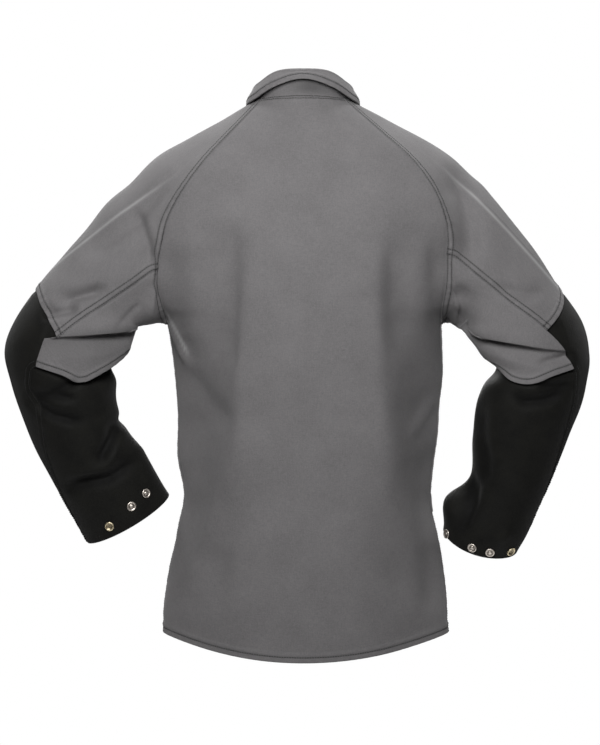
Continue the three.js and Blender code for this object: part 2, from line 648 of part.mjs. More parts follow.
function collarGeometry() {
  const around = shares(COLLAR_COLUMNS).map((share) => lerp(-COLLAR_END, COLLAR_END, share));
  const points = around.map((w) => {
    const base = neckPoint(w);
    const [before, after] = [w - NORMAL_STEP, w + NORMAL_STEP].map((place) => neckPoint(clamp(place, -1, 1)));
    const step = after.sub(before);
    const outward = new THREE.Vector3(-step.y, step.x, 0).normalize();
    return collarSection(w).map(([out, up]) =>
      base.clone().addScaledVector(outward, out).add(new THREE.Vector3(0, 0, up)),
    );
  });
  const normals = points.map((row, j) =>
    row.map((_, i) => {
      const next = points[Math.min(j + 1, points.length - 1)][i];
      const previous = points[Math.max(j - 1, 0)][i];
      const above = row[Math.min(i + 1, row.length - 1)];
      const below = row[Math.max(i - 1, 0)];
      return above.clone().sub(below).cross(next.clone().sub(previous)).normalize();
    }),
  );
  return closedWall(points, normals, COLLAR_CLOTH);
}

// The fly is a strip over the meeting edges of the two fronts.
function flyGeometry() {
  const lift = CLOTH + SEAM_GAP;
  const raised = {
    limits: front.limits,
    turn: front.turn,
    point: (u, v) => front.point(u, v).addScaledVector(front.normal(u, v), lift),
  };
  return panel({
    surface: raised,
    across: shares(FLY_COLUMNS),
    along: [...BODY_LINES, ...RAGLAN_LINES].map((line) => Math.min(line, NECK - FLY_TOP)),
    place: (p, line) => [uAtWidth(FRONT_SECTIONS, lerp(-FLY_HALF_WIDTH, FLY_HALF_WIDTH, p), line), line],
    thickness: CLOTH,
  });
}

// Half the section of a snap, from the washer inside the cuff to the cap outside: radius and height
// above the leather's outer face.
const SNAP_PROFILE = [
  { name: "washer_middle", radius: 0, height: -4.3 },
  { name: "washer_rim", radius: 5, height: -4.3 },
  { name: "washer_edge", radius: 5, height: -3.1 },
  { name: "post_foot", radius: SNAP_POST_RADIUS, height: -3.1 },
  { name: "post_top", radius: SNAP_POST_RADIUS, height: 0.35 },
  { name: "cap_underside", radius: 6.8, height: 0.35 },
  { name: "cap_rim", radius: 7.2, height: 1 },
  { name: "cap_shoulder", radius: 6.3, height: 2 },
  { name: "dish", radius: 4.3, height: 1.3 },
  { name: "button_edge", radius: 2, height: 2.6 },
  { name: "button_middle", radius: 0, height: 2.8 },
];

function snapGeometry() {
  const profile = SNAP_PROFILE.map(({ radius, height }) => new THREE.Vector2(radius, height));
  return new THREE.LatheGeometry(profile, SNAP_SIDES);
}

// The place of a snap on a cuff, with its axis along the leather's normal.
function snapFrame(arm, snap) {
  const edge = sleevePoint(arm, snap.angle, CUFF);
  const ringLength = edge.distanceTo(sleevePoint(arm, snap.angle, CUFF - 1));
  const along = CUFF - snap.from_edge / ringLength;
  const { point, limits, turn } = arm.surface;
  const normal = normalOf(point, snap.angle, along, limits, turn);
  const upright = new THREE.Quaternion().setFromUnitVectors(new THREE.Vector3(0, 1, 0), normal);
  return new THREE.Matrix4().compose(point(snap.angle, along), upright, new THREE.Vector3(1, 1, 1));
}

function toSolid(geometry) {
  const bare = geometry.clone();
  bare.deleteAttribute("normal");
  bare.deleteAttribute("uv");
  const merged = mergeVertices(bare);
  return new wasm.Manifold(
    new wasm.Mesh({
      numProp: 3,
      vertProperties: merged.getAttribute("position").array,
      triVerts: new Uint32Array(merged.index.array),
    }),
  );
}

function toGeometry(solid) {
  const mesh = solid.getMesh();
  const geometry = new THREE.BufferGeometry();
  geometry.setAttribute("position", new THREE.BufferAttribute(mesh.vertProperties, 3));
  geometry.setIndex(new THREE.BufferAttribute(mesh.triVerts, 1));
  geometry.computeVertexNormals();
  return geometry;
}

// The leather with a hole for each snap's post.
function punched(geometry, frames) {
  const hole = new THREE.CylinderGeometry(SNAP_HOLE_RADIUS, SNAP_HOLE_RADIUS, SNAP_HOLE_LENGTH, SNAP_SIDES);
  const holes = frames.map((frame) => toSolid(hole.clone().applyMatrix4(frame)));
  return toGeometry(holes.reduce((leather, cut) => leather.subtract(cut), toSolid(geometry)));
}

const jacket = new THREE.Group();

function add(name, geometry, material) {
  const mesh = new THREE.Mesh(geometry, material);
  mesh.name = name;
  jacket.add(mesh);
  return mesh;
}

add("back_panel", bodyPanel(back, [-1, 1], BACK_COLUMNS), COTTON);
add("left_front", bodyPanel(front, [0, 1], FRONT_COLUMNS), COTTON);
add("right_front", bodyPanel(front, [-1, 0], FRONT_COLUMNS), COTTON);
add("front_fly", flyGeometry(), COTTON);
add("collar", collarGeometry(), COTTON);

for (const [hand, arm] of Object.entries(arms)) {
  const frames = SNAPS[hand].map((snap) => snapFrame(arm, snap));
  add(`${hand}_sleeve_top`, cottonSleevePanel(arm, TOP_SHARES, topAngle, TOP_PANEL_END), COTTON);
  add(`${hand}_sleeve_under`, cottonSleevePanel(arm, UNDER_SHARES, underAngle, UNDER_PANEL_END), COTTON);
  const outer = leatherSleevePanel(arm, TOP_SHARES, topAngle, TOP_PANEL_END);
  add(`${hand}_forearm_outer`, punched(outer, frames), BLACK_LEATHER);
  const inner = leatherSleevePanel(arm, INNER_SHARES, underAngle, UNDER_PANEL_END);
  add(`${hand}_forearm_inner`, punched(inner, frames), BLACK_LEATHER);
  SNAPS[hand].forEach((snap, i) => {
    add(`${hand}_cuff_snap_${i + 1}`, snapGeometry(), SNAP_METALS[snap.metal]).applyMatrix4(frames[i]);
  });
}

export default jacket;
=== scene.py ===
# %% [markdown]
# # A welding jacket, seen from behind
# The jacket is grey flame-proof cotton down to the elbows and black split leather from there to the
# cuffs. It keeps the form of a worn jacket whose sleeves are bent at the elbow. A modeller could
# sculpt it, or let a cloth simulation hang it on a stand. Here every panel is worked out from short
# tables, so that its outline can be set against the photograph millimetre by millimetre.

from types import SimpleNamespace

import bpy
import numpy as np
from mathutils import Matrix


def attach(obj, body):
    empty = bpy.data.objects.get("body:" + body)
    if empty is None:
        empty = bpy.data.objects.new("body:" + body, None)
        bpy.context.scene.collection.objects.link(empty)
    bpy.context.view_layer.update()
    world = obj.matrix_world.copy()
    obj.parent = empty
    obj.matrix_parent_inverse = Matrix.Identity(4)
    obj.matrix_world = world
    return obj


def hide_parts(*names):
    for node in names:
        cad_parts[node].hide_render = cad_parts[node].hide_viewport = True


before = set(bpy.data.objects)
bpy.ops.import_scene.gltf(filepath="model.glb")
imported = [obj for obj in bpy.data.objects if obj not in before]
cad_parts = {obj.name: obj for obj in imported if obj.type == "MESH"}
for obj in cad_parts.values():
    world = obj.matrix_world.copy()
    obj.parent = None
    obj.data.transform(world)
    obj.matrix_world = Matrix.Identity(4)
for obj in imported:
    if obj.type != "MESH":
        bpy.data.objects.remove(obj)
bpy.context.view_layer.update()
MM = 0.001  # metres in a millimetre: tables are in millimetres, meshes in metres

# %% [markdown]
# ## The camera
# The photograph was taken from behind with a long lens: the jacket's two sides show almost no
# perspective. The camera stands 4.5 m behind the jacket, level with its middle. Moving it a few
# millimetres sideways puts the jacket's middle line on the right column, so the lens needs no shift.

# %% Camera
IMAGE_HEIGHT = 745  # pixels
MM_PER_PIXEL = 1.36  # at the jacket's middle plane
CAMERA_DISTANCE = 4500
CAMERA_X = 4.1
CAMERA_Z = -367.2
SENSOR = 36

camera_data = bpy.data.cameras.new("camera")
camera_data.sensor_width = SENSOR
camera_data.lens = SENSOR * CAMERA_DISTANCE / (IMAGE_HEIGHT * MM_PER_PIXEL)
camera = bpy.data.objects.new("camera", camera_data)
camera.location = (CAMERA_X * MM, CAMERA_DISTANCE * MM, CAMERA_Z * MM)
camera.rotation_euler = (np.pi / 2, 0, np.pi)
bpy.context.scene.collection.objects.link(camera)
bpy.context.scene.camera = camera
print("lens:", round(camera_data.lens, 1), "mm")

# %% [markdown]
# ## Smooth lines through tables
# A garment's outline has no formula, but a few measured sections and a smooth curve through them
# give it. The Catmull-Rom curve passes through every value, so a table stays easy to correct:
# a number that is changed moves the cloth only near its own row.

# %% Curves and helpers
TWO_PI = 2 * np.pi
FINE = 1.1  # grid step at a panel's edge, in millimetres
EDGE_BAND = 13  # width of the edge that has fine steps


def between(a, b, share):
    """The value a share of the way from a to b."""
    return a + (b - a) * share


def ease(value, low, high):
    """0 below low, 1 above high, and an S-shaped step between them."""
    t = np.clip((value - low) / (high - low), 0, 1)
    return t * t * (3 - 2 * t)


def bump(distance, width):
    """A bell: 1 at distance 0, and almost nothing at two widths."""
    return np.exp(-((distance / width) ** 2))


def through(values, place):
    """A Catmull-Rom curve through evenly spaced values, read at places counted in values.
    Between b and c the slopes are half of c - a and half of d - b."""
    values = np.asarray(values, float)
    last = len(values) - 1
    padded = np.concatenate([[2 * values[0] - values[1]], values, [2 * values[-1] - values[-2]]])
    at = np.clip(place, 0, last)
    i = np.minimum(np.floor(at).astype(int), last - 1)
    return catmull_rom(padded[i], padded[i + 1], padded[i + 2], padded[i + 3], at - i)


def catmull_rom(a, b, c, d, t):
    """The cubic from b to c that leaves along c - a and arrives along d - b."""
    cubic = 3 * (b - c) + d - a
    square = 2 * a - 5 * b + 4 * c - d
    return b + 0.5 * t * (c - a + t * (square + t * cubic))


def columns(names, rows):
    """A table of named rows as one array for each named column."""
    values = np.array(list(rows.values()), float)
    return {name: values[:, i] for i, name in enumerate(names.split())}


def unit(vectors):
    """Vectors of length 1 in the same directions."""
    return vectors / np.maximum(np.linalg.norm(vectors, axis=-1, keepdims=True), 1e-9)


def arc_lengths(line):
    """The distance along a line at each of its points."""
    gaps = np.linalg.norm(np.diff(line, axis=0), axis=1)
    return np.concatenate([[0], np.cumsum(gaps)])


def graded(length, coarse, fine=FINE, band=EDGE_BAND):
    """Shares from 0 to 1 along a strip of that length: coarse steps, and fine ones in a band at
    both ends."""
    high = length - band
    first = np.arange(0, band, fine)
    middle = np.linspace(band, high, int((high - band) / coarse) + 2)[:-1]
    last = np.linspace(high, length, int(band / fine) + 2)
    return np.unique(np.round(np.concatenate([first, middle, last]) / length, 6))


print("halfway through 0, 10, 10:", float(through([0, 10, 10], np.array(0.5))))

# %% [markdown]
# ## The body
# The body is a stack of level sections from the hem to the neck. Each is half of a superellipse, an
# ellipse with squarer shoulders, because cloth that hangs from the shoulder blades is flatter behind
# and rounder at the sides than an ellipse. Up to the armpit a section ends at the side seams. Above
# it the edges run in along the raglan seams, which go straight from the armpit to the neck. Below the
# shoulder blades the back hangs almost flat between two soft corners. A superellipse can't do that,
# so a second table mixes such a section in.

# %% Sections of the body
BODY_BOXINESS = 2.4  # exponent of the superellipse: 2 is an ellipse
NECK_BOXINESS = 2.05
NECK_HALF_WIDTH = 67
NECK_HALF_DEPTH = 63
NECK_MIDDLE_Y = 3
BACK_NECK_CORNER = 53  # degrees round the neck from the back to the raglan seam
FRONT_NECK_CORNER = 55
BACK_NECK_Z = 2
BACK_NECK_MIDDLE_Z = 4.6
FRONT_NECK_Z = -46
THROAT_Z = -78


def signed_power(value, boxiness):
    """A power that keeps the sign, as a superellipse needs."""
    return np.sign(value) * np.abs(value) ** (2 / boxiness)


def neck_row(corner, side, edge_z, mid_z):
    """The last section, which lies on the neck's own superellipse."""
    half = NECK_HALF_WIDTH * signed_power(np.sin(np.radians(corner)), NECK_BOXINESS)
    reach = NECK_HALF_DEPTH * signed_power(np.cos(np.radians(corner)), NECK_BOXINESS)
    edge_y = NECK_MIDDLE_Y + side * reach
    mid_y = NECK_MIDDLE_Y + side * NECK_HALF_DEPTH
    return (half, half, edge_y, mid_y, edge_z, mid_z, corner)


SECTION_COLUMNS = "left right edge_y mid_y edge_z mid_z wrap"
BACK = columns(SECTION_COLUMNS, {
    "hem": (189, 196, 0, 106, -720, -754, 90),
    "seat": (188, 195, 0, 110, -678, -694, 90),
    "hip": (181, 190, 0, 113, -630, -638, 90),
    "low_waist": (170, 182, 0, 113, -582, -585, 90),
    "waist": (161, 174, 0, 110, -535, -536, 90),
    "high_waist": (170, 179, 0, 110, -480, -480, 90),
    "ribs": (169.5, 185, 0, 112, -421, -421, 90),
    "chest": (174.5, 188, 8, 118, -361, -361, 90),
    "armpit": (182, 186.5, 24, 123, -302, -306, 90),
    "raglan_1": (188.5, 187, 52, 125, -277, -280, 80),
    "raglan_2": (195.5, 191.5, 69, 127, -248, -252, 66),
    "raglan_3": (194, 192, 77, 128, -217, -222, 57),
    "raglan_4": (187, 192, 88, 127, -187, -191, 51),
    "raglan_5": (177, 187, 95, 124, -157, -159, 47),
    "raglan_6": (157, 172, 98, 118, -121, -121, 44),
    "raglan_7": (127, 142, 93, 107, -80, -77, 43),
    "raglan_8": (92, 100, 76, 90, -41, -36, 46),
    "neck": neck_row(BACK_NECK_CORNER, 1, BACK_NECK_Z, BACK_NECK_MIDDLE_Z),
})
FRONT = columns(SECTION_COLUMNS, {
    "hem": (189, 196, 0, -125, -720, -738, 90),
    "seat": (188, 195, 0, -125, -678, -687, 90),
    "hip": (181, 190, 0, -127, -630, -634, 90),
    "low_waist": (170, 182, 0, -128, -582, -584, 90),
    "waist": (161, 174, 0, -127, -535, -535, 90),
    "high_waist": (170, 179, 0, -128, -480, -480, 90),
    "ribs": (169.5, 185, 0, -131, -421, -421, 90),
    "chest": (174.5, 188, 8, -136, -361, -362, 90),
    "armpit": (182, 186.5, 24, -140, -302, -310, 90),
    "raglan_1": (187, 187, -22, -141, -277, -288, 80),
    "raglan_2": (192, 191, -62, -140, -248, -263, 66),
    "raglan_3": (190, 191, -80, -137, -217, -238, 57),
    "raglan_4": (181, 184, -93, -132, -189, -214, 52),
    "raglan_5": (166, 172, -101, -125, -162, -190, 49),
    "raglan_6": (145, 153, -103, -115, -135, -164, 48),
    "raglan_7": (117, 124, -95, -101, -108, -137, 49),
    "raglan_8": (86, 90, -73, -82, -77, -107, 52),
    "neck": neck_row(FRONT_NECK_CORNER, -1, FRONT_NECK_Z, THROAT_Z),
})
ARMPIT = 8
NECK = 17
# The flat band in the middle of the back: where its two corners are, how far it replaces the
# superellipse, how soft its corners are, and the depth that its sides run to.
HANG = columns("left right flat soft side_y", {
    "hem": (84, 76, 0.5, 60, 0),
    "seat": (86, 80, 0.55, 55, 0),
    "hip": (92, 90, 0.7, 50, 0),
    "low_waist": (100, 108, 0.85, 40, 0),
    "waist": (102, 122, 1, 32, 0),
    "high_waist": (95, 122, 1, 18, 0),
    "ribs": (90, 110, 1, 10, 2),
    "chest": (90, 104, 1, 8, 20),
    "armpit": (88, 102, 1, 8, 40),
    "raglan_1": (85, 102, 1, 8, 56),
    "raglan_2": (82, 102, 1, 9, 66),
    "raglan_3": (80, 102, 0.8, 12, 72),
    "raglan_4": (78, 102, 0.3, 18, 86),
    "raglan_5": (78, 102, 0, 24, 95),
    "raglan_6": (70, 70, 0, 24, 98),
    "raglan_7": (60, 60, 0, 24, 93),
    "raglan_8": (40, 40, 0, 24, 76),
    "neck": (25, 25, 0, 24, 41),
})
SIDE_POWER = 8  # how late the sides leave their straight line for the panel's real edge


def hanging_y(x, half, mid_y, edge_y, v):
    """The depth of cloth that hangs flat between two corners: mid_y between them, and outside them
    a straight line to side_y, or at the panel's edge to edge_y. The corner is rounded as
    (past + sqrt(past^2 + soft^2)) / 2."""
    corner = np.where(x > 0, through(HANG["left"], v), through(HANG["right"], v))
    soft = through(HANG["soft"], v)
    side_y = through(HANG["side_y"], v)
    past = np.abs(x) - corner
    reach = half - corner
    share = (past + np.hypot(past, soft)) / (reach + np.hypot(reach, soft))
    return between(mid_y, side_y, share) + (edge_y - side_y) * share**SIDE_POWER


def section_form(sections, side, v):
    """How far a section's edge turns, in radians, its half width on the side of that sign, and its
    boxiness."""
    wrap = np.radians(np.where(v > ARMPIT, through(sections["wrap"], v), 90))
    half = np.where(side > 0, through(sections["left"], v), through(sections["right"], v))
    return wrap, half, between(BODY_BOXINESS, NECK_BOXINESS, ease(v, ARMPIT, NECK))


def body_point(sections, u, v):
    """A point of the back or the front: u is -1 at the right edge and 1 at the left one, v counts
    sections up from the hem. The edge turns through wrap degrees, x follows the superellipse's
    sine, y its cosine, and z dips from the edges to the middle with the square of x."""
    wrap, half, box = section_form(sections, u, v)
    turn = u * wrap
    share = signed_power(np.sin(turn), box) / signed_power(np.sin(wrap), box)
    edge_cosine = signed_power(np.maximum(np.cos(wrap), 0), box)
    near = (signed_power(np.maximum(np.cos(turn), 0), box) - edge_cosine) / (1 - edge_cosine)
    edge_y = through(sections["edge_y"], v)
    mid_y = through(sections["mid_y"], v)
    x = half * share
    y = between(edge_y, mid_y, near)
    if sections is BACK:
        y = between(y, hanging_y(x, half, mid_y, edge_y, v), np.clip(through(HANG["flat"], v), 0, 1))
    z = between(through(sections["mid_z"], v), through(sections["edge_z"], v), share**2)
    return np.stack([x, y, z], -1)


print("hem, middle of the back:", body_point(BACK, np.array(0.0), np.array(0.0)).tolist())

# %% [markdown]
# ## The sleeves
# A sleeve starts as a ring along the two raglan seams and the neck edge between them, and goes on as
# eleven rings down to the cuff. Each ring is an ellipse given by the two sides that the photograph
# shows, its depth, and how far its back hangs below its front. The sleeve is bent, so the rings crowd
# together in the crook and fan out over the elbow.

# %% Rings of the sleeves
RING_COLUMNS = "outer_x outer_z inner_x inner_z mid_y depth back_drop"
LEFT_RINGS = columns(RING_COLUMNS, {
    "shoulder": (205, -77, 199, -300, 2, 88, 0),
    "deltoid": (262, -133, 212, -303, 8, 78, 0),
    "upper_arm": (305, -188, 219, -304, 16, 69, 0),
    "above_elbow": (352, -242, 223, -305, 26, 64, 0),
    "elbow_top": (389, -296, 225, -312, 34, 61, 4),
    "elbow": (402.5, -337, 234, -338, 36, 60, 8),
    "below_elbow": (395, -379, 248, -371, 33, 58, 10),
    "forearm_top": (382, -420, 252, -409, 28, 56, 10),
    "forearm": (360, -474, 233, -455, 20, 52, 10),
    "wrist": (327, -536, 204, -496, 12, 47, 11),
    "cuff": (294, -595, 182, -534, 4, 42, 15),
})
RIGHT_RINGS = columns(RING_COLUMNS, {
    "shoulder": (-207, -77, -201, -300, 2, 88, 0),
    "deltoid": (-259, -131, -207, -304, 8, 78, 0),
    "upper_arm": (-301, -187, -211, -307, 16, 69, 0),
    "above_elbow": (-339, -242, -215, -309, 26, 64, 0),
    "elbow_top": (-375.5, -296, -220, -317, 34, 61, 4),
    "elbow": (-386, -344, -238, -340, 36, 60, 8),
    "below_elbow": (-383, -379, -247, -368, 33, 58, 10),
    "forearm_top": (-373, -420, -234, -409, 28, 56, 11),
    "forearm": (-351, -474, -229, -456, 20, 52, 13),
    "wrist": (-323, -541, -226, -513, 12, 47, 22),
    "cuff": (-293, -606, -191, -582, 4, 42, 24),
})
CUFF = 11
NECK_EDGE_ANGLE = 14  # half of what the neck edge takes of ring 0, in degrees
# The lengthwise seams of a sleeve: degrees round from its outer side, at each ring.
FRONT_SEAM = (124.7, 118, 110, 100, 92, 80, 70, 62, 58, 56, 55, 55)
LEFT_BACK_SEAM = (131.5, 112.8, 112.2, 108.6, 104, 88, 66, 54, 60, 43, 24, 12)
RIGHT_BACK_SEAM = (119.6, 103.7, 101.2, 95.8, 89.4, 73.2, 52, 43, 38, 30, 16, 5)
# What each ring adds near the armpit, as a share of its depth, and between which degrees from the
# shoulder that grows.
ARMPIT_FULLNESS = np.array([0.72, 0.45, 0.2, 0, 0, 0, 0, 0, 0, 0, 0])
FULLNESS_ANGLES = (120, 175)


def sleeve_neck_point(side, share):
    """The sleeve's part of the neck edge, from its back corner to its front corner."""
    turn = np.radians(between(BACK_NECK_CORNER, 180 - FRONT_NECK_CORNER, share))
    x = side * NECK_HALF_WIDTH * signed_power(np.sin(turn), NECK_BOXINESS)
    y = NECK_MIDDLE_Y + NECK_HALF_DEPTH * signed_power(np.cos(turn), NECK_BOXINESS)
    return np.stack([x, y, between(BACK_NECK_Z, FRONT_NECK_Z, share**3)], -1)


def raglan_point(side, angle):
    """Ring 0: 0 degrees is the shoulder, 180 the armpit, with the back seam on the way."""
    signed = np.where(angle > 180, angle - 360, angle)
    down = np.clip((np.abs(signed) - NECK_EDGE_ANGLE) / (180 - NECK_EDGE_ANGLE), 0, 1)
    section = between(NECK, ARMPIT, down)
    edge = np.full_like(section, side)
    back = body_point(BACK, edge, section)
    front = body_point(FRONT, edge, section)
    share = np.clip((NECK_EDGE_ANGLE - signed) / (2 * NECK_EDGE_ANGLE), 0, 1)
    seam = np.where((signed > 0)[..., None], back, front)
    near_neck = (np.abs(signed) < NECK_EDGE_ANGLE)[..., None]
    return np.where(near_neck, sleeve_neck_point(side, share), seam)


def ring_point(arm, angle, index):
    """A ring is an ellipse: x and z go from the inner to the outer side with the cosine, y and the
    drop of its back with the sine. The first rings are fuller towards the armpit."""
    ring = np.clip(index, 1, CUFF) - 1
    row = {name: values[ring] for name, values in arm.rings.items()}
    outward = (1 + np.cos(np.radians(angle))) / 2
    sine = np.sin(np.radians(angle))
    x = between(row["inner_x"], row["outer_x"], outward)
    z = between(row["inner_z"], row["outer_z"], outward) - row["back_drop"] * sine
    from_shoulder = np.abs((angle + 180) % 360 - 180)
    fullness = 1 + ARMPIT_FULLNESS[ring] * ease(from_shoulder, *FULLNESS_ANGLES)
    points = np.stack([x, row["mid_y"] + row["depth"] * sine * fullness, z], -1)
    first = index < 1
    points[first] = raglan_point(arm.side, angle[first])
    return points


def sleeve_point(arm, angle, along):
    """A point of a smooth sleeve: a Catmull-Rom curve through the rings at one angle."""
    angle, along = np.broadcast_arrays(np.asarray(angle, float), np.asarray(along, float))
    i = np.clip(np.floor(along).astype(int), 0, CUFF - 1)
    b = ring_point(arm, angle, i)
    c = ring_point(arm, angle, i + 1)
    a = np.where((i > 0)[..., None], ring_point(arm, angle, np.maximum(i - 1, 0)), 2 * b - c)
    past = (i + 2 > CUFF)[..., None]
    d = np.where(past, 2 * c - b, ring_point(arm, angle, np.minimum(i + 2, CUFF)))
    return catmull_rom(a, b, c, d, (along - i)[..., None])


left_arm = SimpleNamespace(hand="left", side=1, rings=LEFT_RINGS, back_seam=LEFT_BACK_SEAM)
right_arm = SimpleNamespace(hand="right", side=-1, rings=RIGHT_RINGS, back_seam=RIGHT_BACK_SEAM)
print("left cuff, outer side:", sleeve_point(left_arm, np.zeros(1), np.full(1, CUFF)).tolist())

# %% [markdown]
# ## Folds
# Cloth in a bent sleeve and round a narrow waist gathers in folds. A simulation would find folds of
# its own, but these have to be the ones of the photograph. So each is a line seen from behind, with a
# depth and a width on either side: a fold that is narrow on one side and wide on the other gets the
# sharp light edge and the soft dark flank of real cotton. Towards the ends of its line it tapers off.
# The creases ironed into the sleeves are sharp, so they have a pointed profile in place of a bell. A
# few seeded waves add slackness.

# %% Tables of folds
# Each fold: its points (x, z) from the top down, its width on the +x side and on the -x side, and
# its depth, which is below zero for a ridge.
BACK_FOLDS = {
    "left_blade": ([(100, -150), (98, -230), (102, -310), (108, -400)], 34, 21, 12),
    "left_shoulder": ([(148, -175), (146, -290), (152, -350)], 18, 18, -4.5),
    "left_flank": ([(158, -315), (150, -362)], 12, 14, 2.5),
    "left_sliver": ([(187, -286), (154, -366)], 4, 7, -5),
    "left_waist": ([(172, -350), (90, -452)], 17, 15, 7),
    "left_low_waist": ([(132, -405), (140, -530)], 26, 24, 4),
    "left_hip": ([(106, -490), (127, -577), (148, -631), (172, -680)], 9, 15, -3),
    "left_hip_side": ([(112, -590), (116, -700)], 22, 18, 3),
    "right_blade": ([(-122, -165), (-124, -255), (-130, -360)], 18, 26, 8),
    "right_shoulder": ([(-158, -175), (-160, -330)], 16, 16, -4),
    "right_raglan": ([(-178, -170), (-184, -265)], 14, 14, 2.5),
    "right_waist": ([(-142, -380), (-152, -530)], 20, 30, 2.5),
    "right_flank": ([(-184, -395), (-140, -462)], 9, 9, -3),
    "right_hip": ([(-130, -500), (-146, -600), (-160, -735)], 20, 14, -3),
    "right_hip_side": ([(-168, -590), (-173, -700)], 16, 18, 4),
    "middle_dip": ([(28, -215), (24, -280)], 10, 12, 1.6),
}
FRONT_FOLDS = {
    "left_drape": ([(96, -200), (104, -330), (92, -520)], 26, 22, 6),
    "left_hip": ([(120, -520), (138, -700)], 24, 20, 5),
    "right_drape": ([(-100, -200), (-112, -340), (-98, -520)], 22, 26, 6),
    "right_hip": ([(-126, -520), (-140, -700)], 20, 24, 5),
}
LEFT_FOLDS = {
    "raglan": ([(232, -140), (216, -170), (206, -200), (203, -235)], 11, 7, 8),
    "under_crease": ([(165, -95), (205, -142), (245, -178), (300, -220)], 15, 15, 9.5),
    "dent_high": ([(256, -254), (338, -272)], 9, 8, 12),
    "dent_low": ([(296, -280), (354, -290)], 9, 8, 11),
    "crook_crease": ([(214, -271), (254, -311)], 4, 4, 2),
    "forearm_1": ([(294, -380), (344, -394)], 6, 6, 7),
    "forearm_2": ([(372, -395), (298, -402)], 7, 7, 7),
    "forearm_3": ([(378, -398), (334, -425), (286, -436)], 7, 10, 9),
    "inner_fold": ([(246, -430), (256, -455), (277, -494)], 10, 7, 9),
    "inner_edge": ([(240, -438), (252, -470), (266, -498)], 6, 9, -3),
    "wrist_ridge": ([(206, -462), (256, -498), (330, -514)], 8, 8, -5),
    "wrist": ([(216, -474), (261, -507), (330, -522)], 9, 9, 12),
}
RIGHT_FOLDS = {
    "raglan": ([(-198, -77), (-217, -133), (-225, -166), (-226, -190), (-218, -244)], 22, 14, 15),
    "dent": ([(-250, -250), (-268, -255), (-299, -262), (-325, -262)], 8, 8, 5),
    "armpit": ([(-203, -245), (-204, -280), (-209, -330)], 14, 18, 13),
    "lobe_crease": ([(-366, -341), (-345, -347), (-308, -358)], 5, 5, 4),
    "forearm_1": ([(-368, -383), (-308, -387)], 6, 6, 6),
    "forearm_2": ([(-358, -391), (-323, -404), (-296, -406), (-272, -393)], 8, 8, 8),
    "long_crease": (
        [(-252, -385), (-238, -417), (-238, -449), (-245, -487), (-245, -503), (-224, -545)], 9, 11, 6,
    ),
    "flap": ([(-218, -490), (-227, -518), (-229, -543), (-220, -570), (-204, -596)], 11, 8, 8),
    "cuff_light": ([(-280, -580), (-261, -597)], 6, 6, -2.5),
}
# Creases ironed into the sleeves, in the same columns: each is a sharp edge between two flat sides.
LEFT_CREASES = {"top": ([(160, -96), (250, -158), (345, -231)], 10, 24, -5)}
RIGHT_CREASES = {"top": ([(-166, -75), (-225, -126), (-275, -178), (-350, -260)], 24, 10, -5)}


def peak(distance, width):
    """1 at distance 0, with a sharp edge there, and almost nothing at four widths."""
    return np.exp(-distance / width)


FOLD_TAPER = 0.3  # share of a fold's length in which it comes up out of flat cloth, at each end


def fold_depth(folds, points, facing, profile=bump):
    """How far folds push points in: for each, depth times a profile of the distance to its line, with
    the width of the side that the point is on, less towards the line's ends. facing is 1 where the
    cloth faces that way."""
    depth = np.zeros(points.shape[:-1])
    spot = points[..., [0, 2]]
    for line, plus_width, minus_width, deep in folds.values():
        nearest = np.full(depth.shape, np.inf)
        width = np.full(depth.shape, float(plus_width))
        place = np.zeros(depth.shape)
        corners = np.array(line, float)
        arc = arc_lengths(corners)
        for start, end, before, after in zip(corners[:-1], corners[1:], arc[:-1], arc[1:]):
            run = end - start
            share = np.clip(((spot - start) @ run) / (run @ run), 0, 1)
            away = spot - start - share[..., None] * run
            distance = np.linalg.norm(away, axis=-1)
            plus_side = away[..., 0] * run[1] - away[..., 1] * run[0] < 0
            closer = distance < nearest
            nearest = np.where(closer, distance, nearest)
            width = np.where(closer, np.where(plus_side, plus_width, minus_width), width)
            place = np.where(closer, between(before, after, share) / arc[-1], place)
        taper = ease(place, 0, FOLD_TAPER) * ease(1 - place, 0, FOLD_TAPER)
        depth += deep * profile(nearest, width) * taper
    return depth * facing


WAVE_SEED = 11
WAVE_COUNT = 14
WAVE_LENGTHS = (45, 150)
WAVE_HEIGHT = 0.0022  # of a wave, as a share of its length

draws = np.random.default_rng(WAVE_SEED)
wave_length = draws.uniform(*WAVE_LENGTHS, WAVE_COUNT)
wave_run = unit(draws.normal(size=(WAVE_COUNT, 3))) * (TWO_PI / wave_length)[:, None]
wave_phase = draws.uniform(0, TWO_PI, WAVE_COUNT)


def slackness(points):
    """The sum of seeded waves, each as high as its length times WAVE_HEIGHT."""
    return (np.sin(points @ wave_run.T + wave_phase) * wave_length * WAVE_HEIGHT).sum(-1)


print("folds:", sum(len(t) for t in (BACK_FOLDS, FRONT_FOLDS, LEFT_FOLDS, RIGHT_FOLDS)))

# %% [markdown]
# ## The crook of the elbow
# Where the sleeve bends, its upper part pushes over the lower one: there is a lip, a dark shelf under
# it, and a lobe of cloth that comes out from below. A bell-shaped valley is too soft for this. Here
# the push changes from a lip to a deep valley within a few millimetres along one line round the
# sleeve, and then rises slowly. The panel's grid later gets a row exactly on that line.

# %% The shelf in the crook
CROOK_STATIONS = 11  # evenly spaced across the under-sleeve panel, from its back to its front seam
